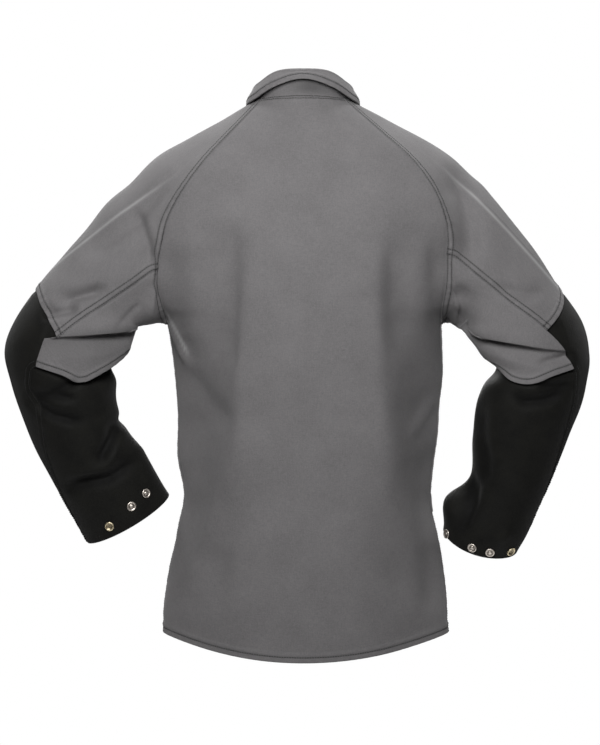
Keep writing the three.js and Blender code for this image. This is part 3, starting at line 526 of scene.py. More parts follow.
# At each station, the ring at which the line lies and the depth of the valley below it.
left_arm.crook = (5.35, 5.23, 5.09, 4.94, 4.72, 4.4, 4.72, 4.94, 5.09, 5.2, 5.3)
left_arm.crook_depth = (4, 9, 12, 13, 9, 0, 8, 11, 8, 2, 0)
right_arm.crook = (5.74, 5.62, 5.42, 5.17, 4.8, 4.3, 4.8, 5.1, 5.2, 5.25, 5.3)
right_arm.crook_depth = (3, 7, 11, 14, 11, 0, 8, 11, 8, 2, 0)
LIP_SHARE = 0.22  # height of the lip, as a share of the depth
OVERHANG_SHARE = 0.2  # how far the lip hangs over the shelf, as a share of the depth
OVERHANG_WIDTH = 11
LIP_ABOVE = 9  # where the lip is highest, in millimetres above the line
LIP_WIDTH = 15
SHELF = (-1.5, 2.5)  # where the push changes, in millimetres past the line
LOBE_REACH = 36  # where the lobe is out again
SIDE_FADE = (-0.06, 0.02)  # where the shelf dies out, as a share of the panel in from its two seams


def under_share(arm, angle, along):
    """How far across the under-sleeve panel an angle lies: 0 at its back seam, 1 at its front one."""
    back = through(arm.back_seam, along)
    return (angle - back) / (360 - through(FRONT_SEAM, along) - back)


def crook_push(arm, angle, along, points):
    """The push inwards, minus a lip above the line and plus a valley below it that eases out, and
    how far the lip slides down over the shelf."""
    share = under_share(arm, angle, along)
    station = np.clip(share, 0, 1) * (CROOK_STATIONS - 1)
    line = through(arm.crook, station)
    past = np.sign(along - line) * np.linalg.norm(points - sleeve_point(arm, angle, line), axis=-1)
    sides = ease(share, *SIDE_FADE) * ease(1 - share, *SIDE_FADE)
    depth = through(arm.crook_depth, station) * sides
    lip = LIP_SHARE * depth * bump(past + LIP_ABOVE, LIP_WIDTH)
    valley = depth * (1 - ease(past, SHELF[1], LOBE_REACH))
    slide = OVERHANG_SHARE * depth * bump(past, OVERHANG_WIDTH) * (1 - ease(past, *SHELF))
    return between(-lip, valley, ease(past, *SHELF)), slide


print("deepest shelf:", max(left_arm.crook_depth), "and", max(right_arm.crook_depth), "mm")

# %% [markdown]
# ## Surfaces with their folds
# A fold could be a height map in the finish, but then the outline would stay smooth. Here the points
# themselves move along the smooth surface's normal, so folds, hollows and dents show in the outline
# too. They die out towards the raglan seams and the neck, where several layers hold the cloth.

# %% Surfaces with their folds
NORMAL_STEP_U = 1e-3
NORMAL_STEP_ANGLE = 0.2
NORMAL_STEP_ALONG = 5e-3
RAGLAN_FADE = 0.3  # share of a half width in which a fold dies out towards the raglan seam
NECK_FADE = 2  # sections below the neck seam
SLEEVE_FADE = (0.03, 0.34)  # rings from the raglan seam
# A fold shows where the cloth faces the side it is seen from: limits of that part of the normal.
BODY_FACING = (0.1, 0.6)
SLEEVE_FACING = (-0.1, 0.3)
# Dents that show in the outline of the leather: angle, ring, widths in degrees and rings, and depth.
LEFT_DENTS = {
    "under_lobe": (160, 6.72, 45, 0.34, 25),
    "notch": (175, 8.5, 35, 0.14, 6),
    "inner": (178, 9.35, 40, 0.45, -4.5),
}
RIGHT_DENTS = {
    "under_lobe": (168, 6.95, 45, 0.28, 5),
    "cuff": (182, 10.55, 38, 0.32, -21),
    "cuff_edge": (95, 11.05, 60, 0.28, 11),
}
# Hollows in the outline of the whole sleeve, in the same columns.
LEFT_HOLLOWS = {
    "neck": (0, 0.55, 45, 0.35, 2.2),
    "shoulder": (0, 1.45, 45, 0.42, 7.5),
    "lobe": (180, 6.3, 28, 0.4, 5),
}
RIGHT_HOLLOWS = {
    "neck": (0, 0.55, 45, 0.35, -1),
    "shoulder": (0, 1.3, 40, 0.3, 4),
    "lobe": (178, 6.75, 42, 0.42, 14),
}

left_arm.folds = LEFT_FOLDS
left_arm.creases = LEFT_CREASES
left_arm.hollows = LEFT_HOLLOWS
left_arm.dents = LEFT_DENTS
right_arm.folds = RIGHT_FOLDS
right_arm.creases = RIGHT_CREASES
right_arm.hollows = RIGHT_HOLLOWS
right_arm.dents = RIGHT_DENTS


def steps(value, step, low, high):
    """The values one step below and one step above, kept within limits."""
    return np.clip(value - step, low, high), np.clip(value + step, low, high)


def body_shape(sections, folds, u, v):
    """The body's surface with its folds. The normal is the cross product of two short steps."""
    low_u, high_u = steps(u, NORMAL_STEP_U, -1, 1)
    low_v, high_v = steps(v, NORMAL_STEP_ALONG, 0, NECK)
    side_step = body_point(sections, high_u, v) - body_point(sections, low_u, v)
    up_step = body_point(sections, u, high_v) - body_point(sections, u, low_v)
    behind = 1 if sections is BACK else -1
    normal = unit(np.cross(up_step, side_step)) * behind
    points = body_point(sections, u, v)
    facing = ease(normal[..., 1] * behind, *BODY_FACING)
    fade = np.where(v > ARMPIT, ease(1 - np.abs(u), 0, RAGLAN_FADE), 1) * ease(NECK - v, 0, NECK_FADE)
    push = fold_depth(folds, points, facing) * fade
    slack = slackness(points) * ease(NECK - v, 0, NECK_FADE) * np.where(v > ARMPIT, fade, 1)
    return points + normal * (slack - push)[..., None]


def dent_depth(dents, angle, along):
    """The sum of bells round a spot of the sleeve."""
    total = np.zeros(np.shape(angle))
    for at, ring, wide, long, depth in dents.values():
        turned = (angle - at + 180) % 360 - 180
        total += depth * bump(turned, wide) * bump(along - ring, long)
    return total


def sleeve_shape(arm, angle, along, leather=False):
    """A sleeve's surface with its folds and the shelf in its crook, and on leather its dents."""
    low_along, high_along = steps(along, NORMAL_STEP_ALONG, 0, CUFF)
    step = NORMAL_STEP_ANGLE
    round_step = sleeve_point(arm, angle + step, along) - sleeve_point(arm, angle - step, along)
    down_step = sleeve_point(arm, angle, high_along) - sleeve_point(arm, angle, low_along)
    normal = unit(np.cross(down_step, round_step)) * arm.side
    points = sleeve_point(arm, angle, along)
    facing = ease(normal[..., 1], *SLEEVE_FACING)
    push = fold_depth(arm.folds, points, facing) + fold_depth(arm.creases, points, facing, peak)
    crook, slide = crook_push(arm, angle, along, points)
    push += crook + dent_depth(arm.hollows, angle, along)
    if leather:
        push += dent_depth(arm.dents, angle, along)
    fade = ease(along, *SLEEVE_FADE)
    moved = normal * (slackness(points) - push)[..., None] + unit(down_step) * slide[..., None]
    return points + moved * fade[..., None]


probe = sleeve_shape(left_arm, np.array([90.0, 180.0]), np.array([3.0, 9.0]))
print("left sleeve, two points:", np.round(probe, 1).tolist())

# %% [markdown]
# ## Shader nodes as expressions
# A finish is easier to read as a formula than as a list of links. One small class wraps a node's
# output: adding, subtracting or multiplying wraps makes the Math nodes. Any other node comes from
# one method, which sets its settings first and then its sockets.

# %% Finishes
class Wire:
    """A node's output, on which Python's operators add Math nodes."""

    def __init__(self, finish, socket):
        self.finish = finish
        self.socket = socket

    def math(self, operation, first, second=0.0):
        """A Math node on one or two values or wires."""
        return self.finish.node("ShaderNodeMath", {"operation": operation}, {0: first, 1: second})

    def __add__(self, other):
        return self.math("ADD", self, other)

    def __radd__(self, other):
        return self.math("ADD", other, self)

    def __sub__(self, other):
        return self.math("SUBTRACT", self, other)

    def __rsub__(self, other):
        return self.math("SUBTRACT", other, self)

    def __mul__(self, other):
        return self.math("MULTIPLY", self, other)

    def __rmul__(self, other):
        return self.math("MULTIPLY", other, self)

    def sine(self):
        """The sine of an angle in radians."""
        return self.math("SINE", self)


class Finish:
    """A material whose nodes are made one by one, and whose surface is a Principled shader."""

    def __init__(self, name):
        self.material = bpy.data.materials.new(name)
        self.material.use_nodes = True
        self.tree = self.material.node_tree
        self.tree.nodes.clear()

    def node(self, kind, settings=None, sockets=None, output=0):
        """Adds a node, sets its settings, then its sockets, and returns one output as a Wire."""
        made = self.tree.nodes.new(kind)
        for key, value in (settings or {}).items():
            setattr(made, key, value)
        for key, value in (sockets or {}).items():
            if isinstance(value, Wire):
                self.tree.links.new(value.socket, made.inputs[key])
            else:
                made.inputs[key].default_value = value
        return Wire(self, made.outputs[output]) if made.outputs else None

    def noise(self, where, scale, detail=2.0, roughness=0.5):
        """Cloudy values round 0.5."""
        sockets = {"Vector": where, "Scale": scale, "Detail": detail, "Roughness": roughness}
        return self.node("ShaderNodeTexNoise", {}, sockets)

    def stretched(self, where, scale):
        """Coordinates multiplied by a scale for each axis."""
        sockets = {"Vector": where, "Scale": scale}
        return self.node("ShaderNodeMapping", {"vector_type": "POINT"}, sockets)

    def mix(self, first, second, share):
        """A colour between two others."""
        settings = {"data_type": "RGBA", "clamp_factor": True}
        return self.node("ShaderNodeMix", settings, {0: share, 6: first, 7: second}, 2)

    def bump(self, height, distance, strength):
        """A normal that follows a height in metres times distance."""
        sockets = {"Height": height, "Distance": distance, "Strength": strength}
        return self.node("ShaderNodeBump", {}, sockets)

    def surface(self, sockets):
        """Ends the material with a Principled shader that has these sockets."""
        shader = self.node("ShaderNodeBsdfPrincipled", {}, sockets)
        self.node("ShaderNodeOutputMaterial", {}, {"Surface": shader})
        return self.material


def grey(value):
    """A neutral grey as a colour."""
    return (value, value, value, 1.0)


print("a grey of a half:", grey(0.5))

# %% [markdown]
# ## Grey cotton
# The cotton is a heavy plain weave. From a few metres it reads as an even warm grey with short
# darker and lighter threads along both directions, where a yarn is thicker, and large soft clouds
# from handling. Thread and cloth share the panel's own UV map, which is laid out in metres along the
# cut, so the weave follows every fold. One vertex attribute paints shade: along the seams, with a
# little dirt in the stitch grooves, below the shelf in the crook, on the collar's stand and in a band
# beside each ironed crease. Another paints a highlight on the ironed creases, where it also stands
# for wear, and on a fold's edge below the left armpit.

# %% Cotton
COTTON_DARK = (0.121, 0.1167, 0.1188, 1)
COTTON_LIGHT = (0.179, 0.1727, 0.1758, 1)
HIGHLIGHT_AND_WEAR_COTTON = grey(0.42)
COTTON_SHADE_AND_DIRT = grey(0.035)
YARN = 0.0011  # metres from one yarn to the next
WARP_SLUBS = (640, 110, 1)  # thick places in a metre, across the panel and along it
WEFT_SLUBS = (110, 640, 1)
CLOUDS = 20.0  # in a metre
FUZZ = 600.0

cotton = Finish("grey_cotton")
cut_uv = cotton.node("ShaderNodeUVMap", {"uv_map": "cut"})
object_place = cotton.node("ShaderNodeTexCoord", output="Object")
seam_shade = cotton.node("ShaderNodeAttribute", {"attribute_name": "seam_shade"}, output="Fac")
worn = cotton.node("ShaderNodeAttribute", {"attribute_name": "worn"}, output="Fac")
across = cotton.node("ShaderNodeSeparateXYZ", {}, {"Vector": cut_uv}, "X")
along = cotton.node("ShaderNodeSeparateXYZ", {}, {"Vector": cut_uv}, "Y")
weave = (across * (TWO_PI / YARN)).sine() * (along * (TWO_PI / YARN)).sine()
warp_slubs = cotton.noise(cotton.stretched(cut_uv, WARP_SLUBS), 1.0)
weft_slubs = cotton.noise(cotton.stretched(cut_uv, WEFT_SLUBS), 1.0)
clouds = cotton.noise(object_place, CLOUDS, 5.0, 0.6)
fuzz = cotton.noise(object_place, FUZZ, 2.0, 0.6)
threads = (warp_slubs - 0.5) * 0.55 + (weft_slubs - 0.5) * 0.55
tone = 0.5 + threads + (clouds - 0.5) * 0.9 + (fuzz - 0.5) * 1.3
cloth_colour = cotton.mix(COTTON_DARK, COTTON_LIGHT, tone)
# a vertex attribute lightens the cloth towards a pale grey: a painted highlight on a fold's edge, and on
# the ironed creases a painted highlight that also stands for wear
highlight_and_wear_colour = cotton.mix(cloth_colour, HIGHLIGHT_AND_WEAR_COTTON, worn * (0.28 + clouds * 0.32))
# painted shade, with a little dirt in the stitch grooves: the vertex attribute mixes the cloth towards
# this dark grey
cotton_colour = cotton.mix(highlight_and_wear_colour, COTTON_SHADE_AND_DIRT, seam_shade * 0.75)
weave_normal = cotton.bump(weave * 0.4 + warp_slubs + weft_slubs + fuzz, 0.0003, 0.4)
cotton_material = cotton.surface({
    "Base Color": cotton_colour,
    "Roughness": 0.86 + (fuzz - 0.5) * 0.2,
    "Normal": weave_normal,
    "Specular IOR Level": 0.25,
    "Sheen Weight": 0.12,
    "Sheen Roughness": 0.45,
})
print("cotton nodes:", len(cotton.tree.nodes))

# %% [markdown]
# ## Black split leather
# Split leather is the rough inner layer of a hide. It is almost black and hardly shines, but its nap
# catches light at a flat angle, so folds and edges show as a soft grey. Two sizes of noise make the
# nap and the fine creases, and a weak sheen gives the grey edge. A vertex attribute paints shade,
# nearly black, into the deep folds and along the seams, where it also stands for a little dirt.

# %% Leather
LEATHER_DARK = (0.0018, 0.0018, 0.0016, 1)
LEATHER_LIGHT = (0.0095, 0.0093, 0.0076, 1)
LEATHER_SHADE_AND_DIRT = grey(0.0006)
NAP = 700.0  # grains in a metre
BRUSHED = 45.0
PORES = 520.0

leather = Finish("black_split_leather")
hide_place = leather.node("ShaderNodeTexCoord", output="Object")
hide_shade = leather.node("ShaderNodeAttribute", {"attribute_name": "seam_shade"}, output="Fac")
nap = leather.noise(hide_place, NAP, 3.0, 0.65)
brushed = leather.noise(hide_place, BRUSHED, 4.0, 0.6)
pores = leather.node("ShaderNodeTexVoronoi", {"feature": "F1"}, {"Vector": hide_place, "Scale": PORES})
hide_tone = 0.45 + (nap - 0.5) * 1.1 + (brushed - 0.5) * 1.3
hide_colour = leather.mix(LEATHER_DARK, LEATHER_LIGHT, hide_tone)
leather_material = leather.surface({
    # painted shade, nearly black, in deep folds and along seams, with a little dirt in the stitch
    # grooves
    "Base Color": leather.mix(hide_colour, LEATHER_SHADE_AND_DIRT, hide_shade * 0.8),
    "Roughness": 0.72 + (brushed - 0.5) * 0.35,
    "Normal": leather.bump(nap + pores * 0.5 + brushed * 2.0, 0.0006, 0.6),
    "Specular IOR Level": 0.14,
    "Sheen Weight": 0.065,
    "Sheen Roughness": 0.5,
})
print("leather nodes:", len(leather.tree.nodes))

# %% [markdown]
# ## Thread and metals
# The seams of the cotton are sewn with dark thread and those of the leather with black. The snaps are
# nickel and pale brass. A plain metal would look new, so a dull film lies on theirs in small spots,
# and a vertex attribute puts grime in the dish of each cap.

# %% Thread and metals
GRIME_COLOUR = (0.06, 0.042, 0.03, 1)
LINT = 1500.0  # spots in a metre
FILM = 420.0


def thread_finish(name, dark, light):
    """A spun thread with a little lint."""
    thread = Finish(name)
    place = thread.node("ShaderNodeTexCoord", output="Object")
    lint = thread.noise(place, LINT, 1.0)
    return thread.surface({
        "Base Color": thread.mix(dark, light, lint),
        "Roughness": 0.6 + (lint - 0.5) * 0.3,
    })


def metal_finish(name, dark, light):
    """A plated metal: light on the whole, with a dull film in small spots and grime in its dish."""
    metal = Finish(name)
    place = metal.node("ShaderNodeTexCoord", output="Object")
    film = metal.noise(place, FILM, 3.0, 0.6)
    grime = metal.node("ShaderNodeAttribute", {"attribute_name": "seam_shade"}, output="Fac")
    plate = metal.mix(dark, light, film * 1.6 - 0.3)
    return metal.surface({
        "Base Color": metal.mix(plate, GRIME_COLOUR, grime * (0.3 + film * 0.6)),
        "Roughness": 0.3 + film * 0.3,
        "Metallic": 1.0,
    })


dark_thread = thread_finish("dark_thread", grey(0.012), grey(0.035))
black_thread = thread_finish("black_thread", grey(0.003), grey(0.009))
nickel_material = metal_finish("nickel", (0.56, 0.5, 0.44, 1), (0.95, 0.89, 0.82, 1))
brass_material = metal_finish("brass", (0.6, 0.5, 0.32, 1), (0.88, 0.79, 0.58, 1))
# What a panel is cut from, with its thickness in millimetres.
COTTON = SimpleNamespace(material=cotton_material, slot="cotton", wall=1.6, thread=dark_thread)
DOUBLED_COTTON = SimpleNamespace(material=cotton_material, slot="cotton", wall=2.4, thread=dark_thread)
LEATHER = SimpleNamespace(material=leather_material, slot="leather", wall=1.8, thread=black_thread)
print("finishes:", len(bpy.data.materials))

# %% [markdown]
# ## Sewing a panel
# A panel is a grid of points on one of the surfaces above. Near each of its edges the cloth is
# doubled and stitched, and that is what makes it look sewn. The distance of every point to an edge
# gives the raised lap, the grooves that the stitches pull, the small puckers between them, and the
# painted shade and a little dirt along the edge and in the grooves. A line at one distance from the
# edge then carries real stitches.

# %% Distances, seams and stitches
CHUNK = 3000  # points whose distances are worked out at once
RIM_STEP = 1.0
PITCH = 3.4  # from one stitch to the next
STITCH_LENGTH = 2.7
HALF_STITCH = (-STITCH_LENGTH / 2, STITCH_LENGTH / 2)
STITCH_RADIUS = 0.52
STITCH_SIDES = 5
STITCH_RINGS = ((-0.36, 0.8, 0.2), (0, 1, 0.4), (0.36, 0.8, 0.2))  # place, radius and height
STITCH_DIP = 0.3  # how far its two ends go into the cloth
# Each seam: how far the lap stands up, how wide it is, and how far in its stitches are.
SEAMS = {
    "lapped": (0.55, 9.6, (1.7, 8.1)),
    "hem": (0.8, 12.5, (7.4,)),
    "turned": (0.6, 10.0, (6.9,)),
    "neck": (0.5, 6.6, (1.2, 4.9)),
    "under": (-0.3, 3.0, ()),
}
LAP_STEP = (-0.6, 1.6)  # where a lap comes down, measured from its width
EDGE_SHADE = (0.06, 1.2)  # darkness and width of the shade along an edge
GROOVE = (0.45, 0.9)  # depth and width of the groove that stitches pull
STITCH_SHADE = (0.5, 1.3)  # darkness and width of the painted shade in it, with a little dirt
PUCKER_HEIGHT = 0.28
PUCKER_LENGTH = 12
PUCKER_DRIFT = (1.8, 53)  # how much the puckers' length varies, and along what length
PUCKER_BAND = (5, 8)  # where they are highest, from the edge, and how soon they die out


def resampled(line, places, arc):
    """Points of a line at given distances along it."""
    return np.stack([np.interp(places, arc, line[:, axis]) for axis in range(line.shape[1])], 1)


def rim_distance(points, rim):
    """For every point, the distance to a rim and the place of its nearest point along the rim."""
    arc = arc_lengths(rim)
    places = np.arange(0, arc[-1], RIM_STEP)
    dense = resampled(rim, places, arc)
    flat = points.reshape(-1, 3)
    nearest = []
    for part in np.array_split(flat, len(flat) // CHUNK + 1):
        squares = ((part[:, None, :] - dense[None, :, :]) ** 2).sum(-1)
        best = squares.argmin(1)
        nearest.append(np.stack([np.sqrt(squares[np.arange(len(part)), best]), places[best]], 1))
    found = np.concatenate(nearest).reshape(*points.shape[:-1], 2)
    return found[..., 0], found[..., 1]


def from_edge(grid, edge):
    """A grid turned so that its second axis starts at one edge."""
    if edge in ("start", "end"):
        grid = np.swapaxes(grid, 0, 1)
    return grid[:, ::-1] if edge in ("right", "end") else grid


def inset_line(points, normals, distance, inset, edge, chosen):
    """The line at one distance from an edge: on every grid line that leaves the edge, the place
    where the distance first reaches the inset."""
    points, normals, distance = (from_edge(grid, edge) for grid in (points, normals, distance))
    reached = distance >= inset
    after = np.argmax(reached, axis=1)
    lines = np.nonzero(reached.any(axis=1) & (after > 0) & chosen)[0]
    after = after[lines]
    before = after - 1
    near = distance[lines, before]
    share = ((inset - near) / np.maximum(distance[lines, after] - near, 1e-6))[:, None]
    line = between(points[lines, before], points[lines, after], share)
    return line, unit(between(normals[lines, before], normals[lines, after], share))


def pucker(arc, distance):
    """Small waves that run out from a seam and die within a centimetre or two."""
    drift, drift_length = PUCKER_DRIFT
    middle, width = PUCKER_BAND
    wave = np.sin(TWO_PI * arc / PUCKER_LENGTH + drift * np.sin(TWO_PI * arc / drift_length))
    return PUCKER_HEIGHT * wave * bump(distance - middle, width)


def grid_normals(points, turn):
    """The cross product of the grid's two directions, turned outwards."""
    return unit(np.cross(np.gradient(points, axis=1), np.gradient(points, axis=0))) * turn


def capped_faces(rings, sides):
    """Triangles and quads of a closed form: a pole, rings of points, and a second pole."""
    i = np.arange(sides)
    following = (i + 1) % sides
    first = np.stack([np.zeros(sides, int), 1 + following, 1 + i], 1)
    top = 1 + (rings - 1) * sides
    last = np.stack([np.full(sides, top + sides), top + i, top + following], 1)
    base = 1 + sides * np.arange(rings - 1)[:, None]
    quads = np.stack([base + i, base + following, base + sides + following, base + sides + i], -1)
    return np.concatenate([first, last]), quads.reshape(-1, 4)


def stitches(lines):
    """Every stitch is a bit of thread that rises out of the cloth and dips back in: a spindle along
    the line, of a few rings between two poles."""
    middles, runs, ups = [], [], []
    for line, normals in lines:
        arc = arc_lengths(line)
        count = max(int(arc[-1] / PITCH), 1)
        places = (np.arange(count) + 0.5) * arc[-1] / count
        start, end = (resampled(line, places + half, arc) for half in HALF_STITCH)
        middles.append(resampled(line, places, arc))
        runs.append(end - start)
        ups.append(resampled(normals, places, arc))
    middle, run, up = (np.concatenate(part) for part in (middles, runs, ups))
    run, up = unit(run), unit(up)
    side = np.cross(run, up)
    turn = TWO_PI * np.arange(STITCH_SIDES) / STITCH_SIDES
    ring_rows = []
    for place, radius, height in STITCH_RINGS:
        centre = middle + run * place * STITCH_LENGTH + up * height
        around = up[:, None] * np.cos(turn)[:, None] + side[:, None] * np.sin(turn)[:, None]
        ring_rows.append(centre[:, None] + around * radius * STITCH_RADIUS)
    poles = [(middle + run * half - up * STITCH_DIP)[:, None] for half in HALF_STITCH]
    points = np.concatenate([poles[0], *ring_rows, poles[1]], 1)
    triangles, quads = capped_faces(len(STITCH_RINGS), STITCH_SIDES)
    base = (np.arange(len(points)) * points.shape[1])[:, None, None]
    return points.reshape(-1, 3), (triangles + base).reshape(-1, 3), (quads + base).reshape(-1, 4)


def add_object(name, mesh, material):
    """Puts a mesh in the scene, on the one body, with its finish."""
    mesh.materials.append(material)
    mesh.polygons.foreach_set("use_smooth", np.ones(len(mesh.polygons), bool))
    mesh.update()
    piece = bpy.data.objects.new(name, mesh)
    bpy.context.scene.collection.objects.link(piece)
    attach(piece, "root")
    return piece


def faces_mesh(name, points, faces):
    """A mesh of points in millimetres and faces given by their corners."""
    mesh = bpy.data.meshes.new(name)
    mesh.from_pydata((points * MM).tolist(), [], faces)
    mesh.validate()
    return mesh


print("kinds of seam:", ", ".join(SEAMS))

# %% Panels
def grid_mesh(name, points, cut, marks, turn):
    """A mesh of quads over a grid, with the cut's UV map in metres and marks as vertex attributes."""
    rows, across_count = points.shape[:2]
    corner = np.arange(rows * across_count).reshape(rows, across_count)
    corners = [corner[:-1, :-1], corner[:-1, 1:], corner[1:, 1:], corner[1:, :-1]]
    quads = np.stack(corners, -1).reshape(-1, 4)
    if turn < 0:
        quads = quads[:, ::-1]
    loops = np.ascontiguousarray(quads).reshape(-1)
    mesh = bpy.data.meshes.new(name)
    mesh.vertices.add(rows * across_count)
    mesh.vertices.foreach_set("co", (points.reshape(-1) * MM).astype(np.float32))
    mesh.loops.add(len(loops))
    mesh.loops.foreach_set("vertex_index", loops.astype(np.int32))
    mesh.polygons.add(len(quads))
    mesh.polygons.foreach_set("loop_start", np.arange(0, len(loops), 4, dtype=np.int32))
    mesh.update(calc_edges=True)
    uv_map = mesh.uv_layers.new(name="cut")
    cut_corners = cut.reshape(-1, 2)[loops] * MM
    uv_map.uv.foreach_set("vector", cut_corners.astype(np.float32).reshape(-1))
    for mark, values in marks.items():
        attribute = mesh.attributes.new(mark, "FLOAT", "POINT")
        attribute.data.foreach_set("value", np.clip(values, 0, 1).reshape(-1).astype(np.float32))
    return mesh


def cut_lengths(points):
    """Distances along the grid's lines: across from the middle column, and along from the first row."""
    across_steps = np.linalg.norm(np.diff(points, axis=1), axis=-1)
    along_steps = np.linalg.norm(np.diff(points, axis=0), axis=-1)
    across_length = np.pad(np.cumsum(across_steps, axis=1), ((0, 0), (1, 0)))
    along_length = np.pad(np.cumsum(along_steps, axis=0), ((1, 0), (0, 0)))
    middle = across_length[:, across_length.shape[1] // 2][:, None]
    cut = np.stack([across_length - middle, along_length], -1)
    return cut, across_length[:, -1].max(), along_length[-1].max()


def one_sided_area(points):
    """The sum of the grid's quads, each half the cross product of its diagonals."""
    diagonals = np.cross(points[1:, 1:] - points[:-1, :-1], points[1:, :-1] - points[:-1, 1:])
    return np.linalg.norm(diagonals, axis=-1).sum() / 2


def seam_relief(points, seams):
    """How far a panel's seams raise it, the painted shade (with a little dirt) that they put on it, and
    its rows of stitches. seams are (edge, chosen grid lines, kind), and None chooses all lines."""
    height = np.zeros(points.shape[:2])
    shade = np.zeros(points.shape[:2])
    rows = []
    for edge, chosen, kind in seams:
        rim = from_edge(points, edge)[:, 0]
        chosen = np.ones(len(rim), bool) if chosen is None else chosen
        distance, arc = rim_distance(points, rim[chosen])
        raise_by, band, insets = SEAMS[kind]
        height += raise_by * (1 - ease(distance - band, *LAP_STEP))
        # painted shade along the edge, and in each stitch groove painted shade with a little dirt
        shade += EDGE_SHADE[0] * bump(distance, EDGE_SHADE[1])
        if insets:
            height += pucker(arc, distance)
        for inset in insets:
            height -= GROOVE[0] * bump(distance - inset, GROOVE[1])
            shade += STITCH_SHADE[0] * bump(distance - inset, STITCH_SHADE[1])
            rows.append((distance, inset, edge, chosen))
    return height, shade, rows


def sew_panel(node, points, turn, seams, cloth, relief=0.0, dirt=0.0, worn=0.0):
    height, shade, rows = seam_relief(points, seams)
    points = points + grid_normals(points, turn) * (height + relief)[..., None]
    normals = grid_normals(points, turn)
    cut, width, length = cut_lengths(points)
    # the seams' painted shade and the extra painted shade passed in go into one vertex attribute
    marks = {"seam_shade": shade + dirt, "worn": np.zeros(points.shape[:2]) + worn}
    mesh = grid_mesh(node, points, cut, marks, turn)
    piece = add_object(f"{node}_cloth", mesh, cloth.material)
    thicken = piece.modifiers.new("wall", "SOLIDIFY")
    thicken.thickness = cloth.wall * MM
    thicken.offset = -1
    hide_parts(node)
    with_pieces = []
    if rows:
        lines = [inset_line(points, normals, *row) for row in rows]
        spots, triangles, quads = stitches([line for line in lines if len(line[0]) > 2])
        threads = faces_mesh(f"{node}_stitches", spots, triangles.tolist() + quads.tolist())
        with_pieces = [add_object(f"{node}_stitches", threads, cloth.thread)]
    area = one_sided_area(points)
    print(node, f"cut {width:.0f} x {length:.0f} mm, {area * MM * MM:.3f} m2, {height.size} points")


# %% [markdown]
# ## The back and the fronts
# The back is one piece from the neck to a hem that drops behind. Its sides are sewn under the fronts
# and its raglan edges under the sleeves, so both rows of stitches lie on those. The fronts meet
# under a plain fly. They can't be seen in the photograph and are kept simple.

# %% Back panel
# A painted highlight on a fold's edge below the left armpit, in the columns of the folds.
SLIVER_HIGHLIGHT = {"left_flank": ([(189, -278), (169.5, -314), (151, -349)], 1.8, 1.8, 1.8)}

back_across = graded(540, 4.0) * 2 - 1
body_along = graded(760, 4.2) * NECK
u, v = np.meshgrid(back_across, body_along)
below_armpit = body_along <= ARMPIT
back_points = body_shape(BACK, BACK_FOLDS, u, v)
back_seams = [
    ("start", None, "hem"),
    ("end", None, "neck"),
    ("left", None, "under"),
    ("right", None, "under"),
]
# The back carries that painted highlight in a vertex attribute.
sew_panel(
    "back_panel", back_points, -1, back_seams, COTTON,
    worn=fold_depth(SLIVER_HIGHLIGHT, back_points, 1),
)

# %% Fronts
front_share = graded(290, 4.6)
for hand, front_across in (("left", front_share), ("right", front_share - 1)):
    u, v = np.meshgrid(front_across, body_along)
    side_edge = "right" if hand == "left" else "left"
    front_seams = [
        ("start", None, "hem"),
        ("end", None, "neck"),
        (side_edge, below_armpit, "lapped"),
        (side_edge, ~below_armpit, "under"),
    ]
    sew_panel(
        f"{hand}_front", body_shape(FRONT, FRONT_FOLDS, u, v), 1, front_seams, COTTON,
    )

# %% Fly
FLY_HALF_WIDTH = 26
FLY_LIFT = 2.6
FLY_EDGE_LIFT = 1.5
FLY_EDGE = 5  # width of the part that comes down to the fronts
FLY_TOP = 0.15  # sections below the neck seam

fly_x = (graded(2 * FLY_HALF_WIDTH, 4.0) * 2 - 1) * FLY_HALF_WIDTH
fly_along = np.unique(np.minimum(body_along, NECK - FLY_TOP))
x, v = np.meshgrid(fly_x, fly_along)
wrap, half, box = section_form(FRONT, x, v)
u = np.sign(x) * np.arcsin(np.sin(wrap) * np.abs(x / half) ** (box / 2)) / wrap
fly_points = body_shape(FRONT, FRONT_FOLDS, u, v)
fly_lift = between(FLY_EDGE_LIFT, FLY_LIFT, ease(FLY_HALF_WIDTH - np.abs(fly_x), 0, FLY_EDGE))
fly_points = fly_points + grid_normals(fly_points, 1) * fly_lift[:, None]
fly_seams = [("left", None, "turned"), ("right", None, "turned"), ("start", None, "hem")]
sew_panel("front_fly", fly_points, 1, fly_seams, COTTON)

# %% [markdown]
# ## The cotton sleeves
# Each sleeve has an upper panel from the neck to the elbow and an under panel that reaches about
# 10 cm lower in the crook. The upper panel laps over everything else: over the back and the fronts
# along the raglan seams, over the under panel along the sleeve, and over the leather at its end. Its
# ironed crease gets a painted highlight that also stands for wear, with a band of painted shade on
# the outer side. The under panel's grid has a row on the shelf in the crook, so the shelf is sharp
# with few points, and painted shade darkens the cloth below that shelf.

# %% Upper and under panels
# Rings at which the panels end: the upper one in its middle and at its seams, the under one and
# the seam beside it at CROOK_STATIONS places across it.
left_arm.upper_end = (4.2, 5.38)
right_arm.upper_end = (4.2, 5.1)
left_arm.end_curve = 1.6  # power of the line between the middle and the seams
right_arm.end_curve = 1.1
left_arm.under_end = (6.35, 6.6, 6.92, 6.64, 6.3, 6.12, 6.4, 6.65, 6.7, 6.6, 6.5)
right_arm.under_end = (6.35, 6.61, 7.0, 6.98, 6.62, 6.5, 6.5, 6.5, 6.6, 6.6, 6.5)
left_arm.lobe_edge = (68, 64.4)  # degrees, just below the shelf and at the end
right_arm.lobe_edge = (56, 49.5)
left_arm.crook_dirt = (0.62, 42)  # how dark the painted shade in the shelf is, and how far down it reaches
right_arm.crook_dirt = (0.3, 12)
SHADE_ABOVE = 3  # how much sooner that painted shade ends above the shelf than below it
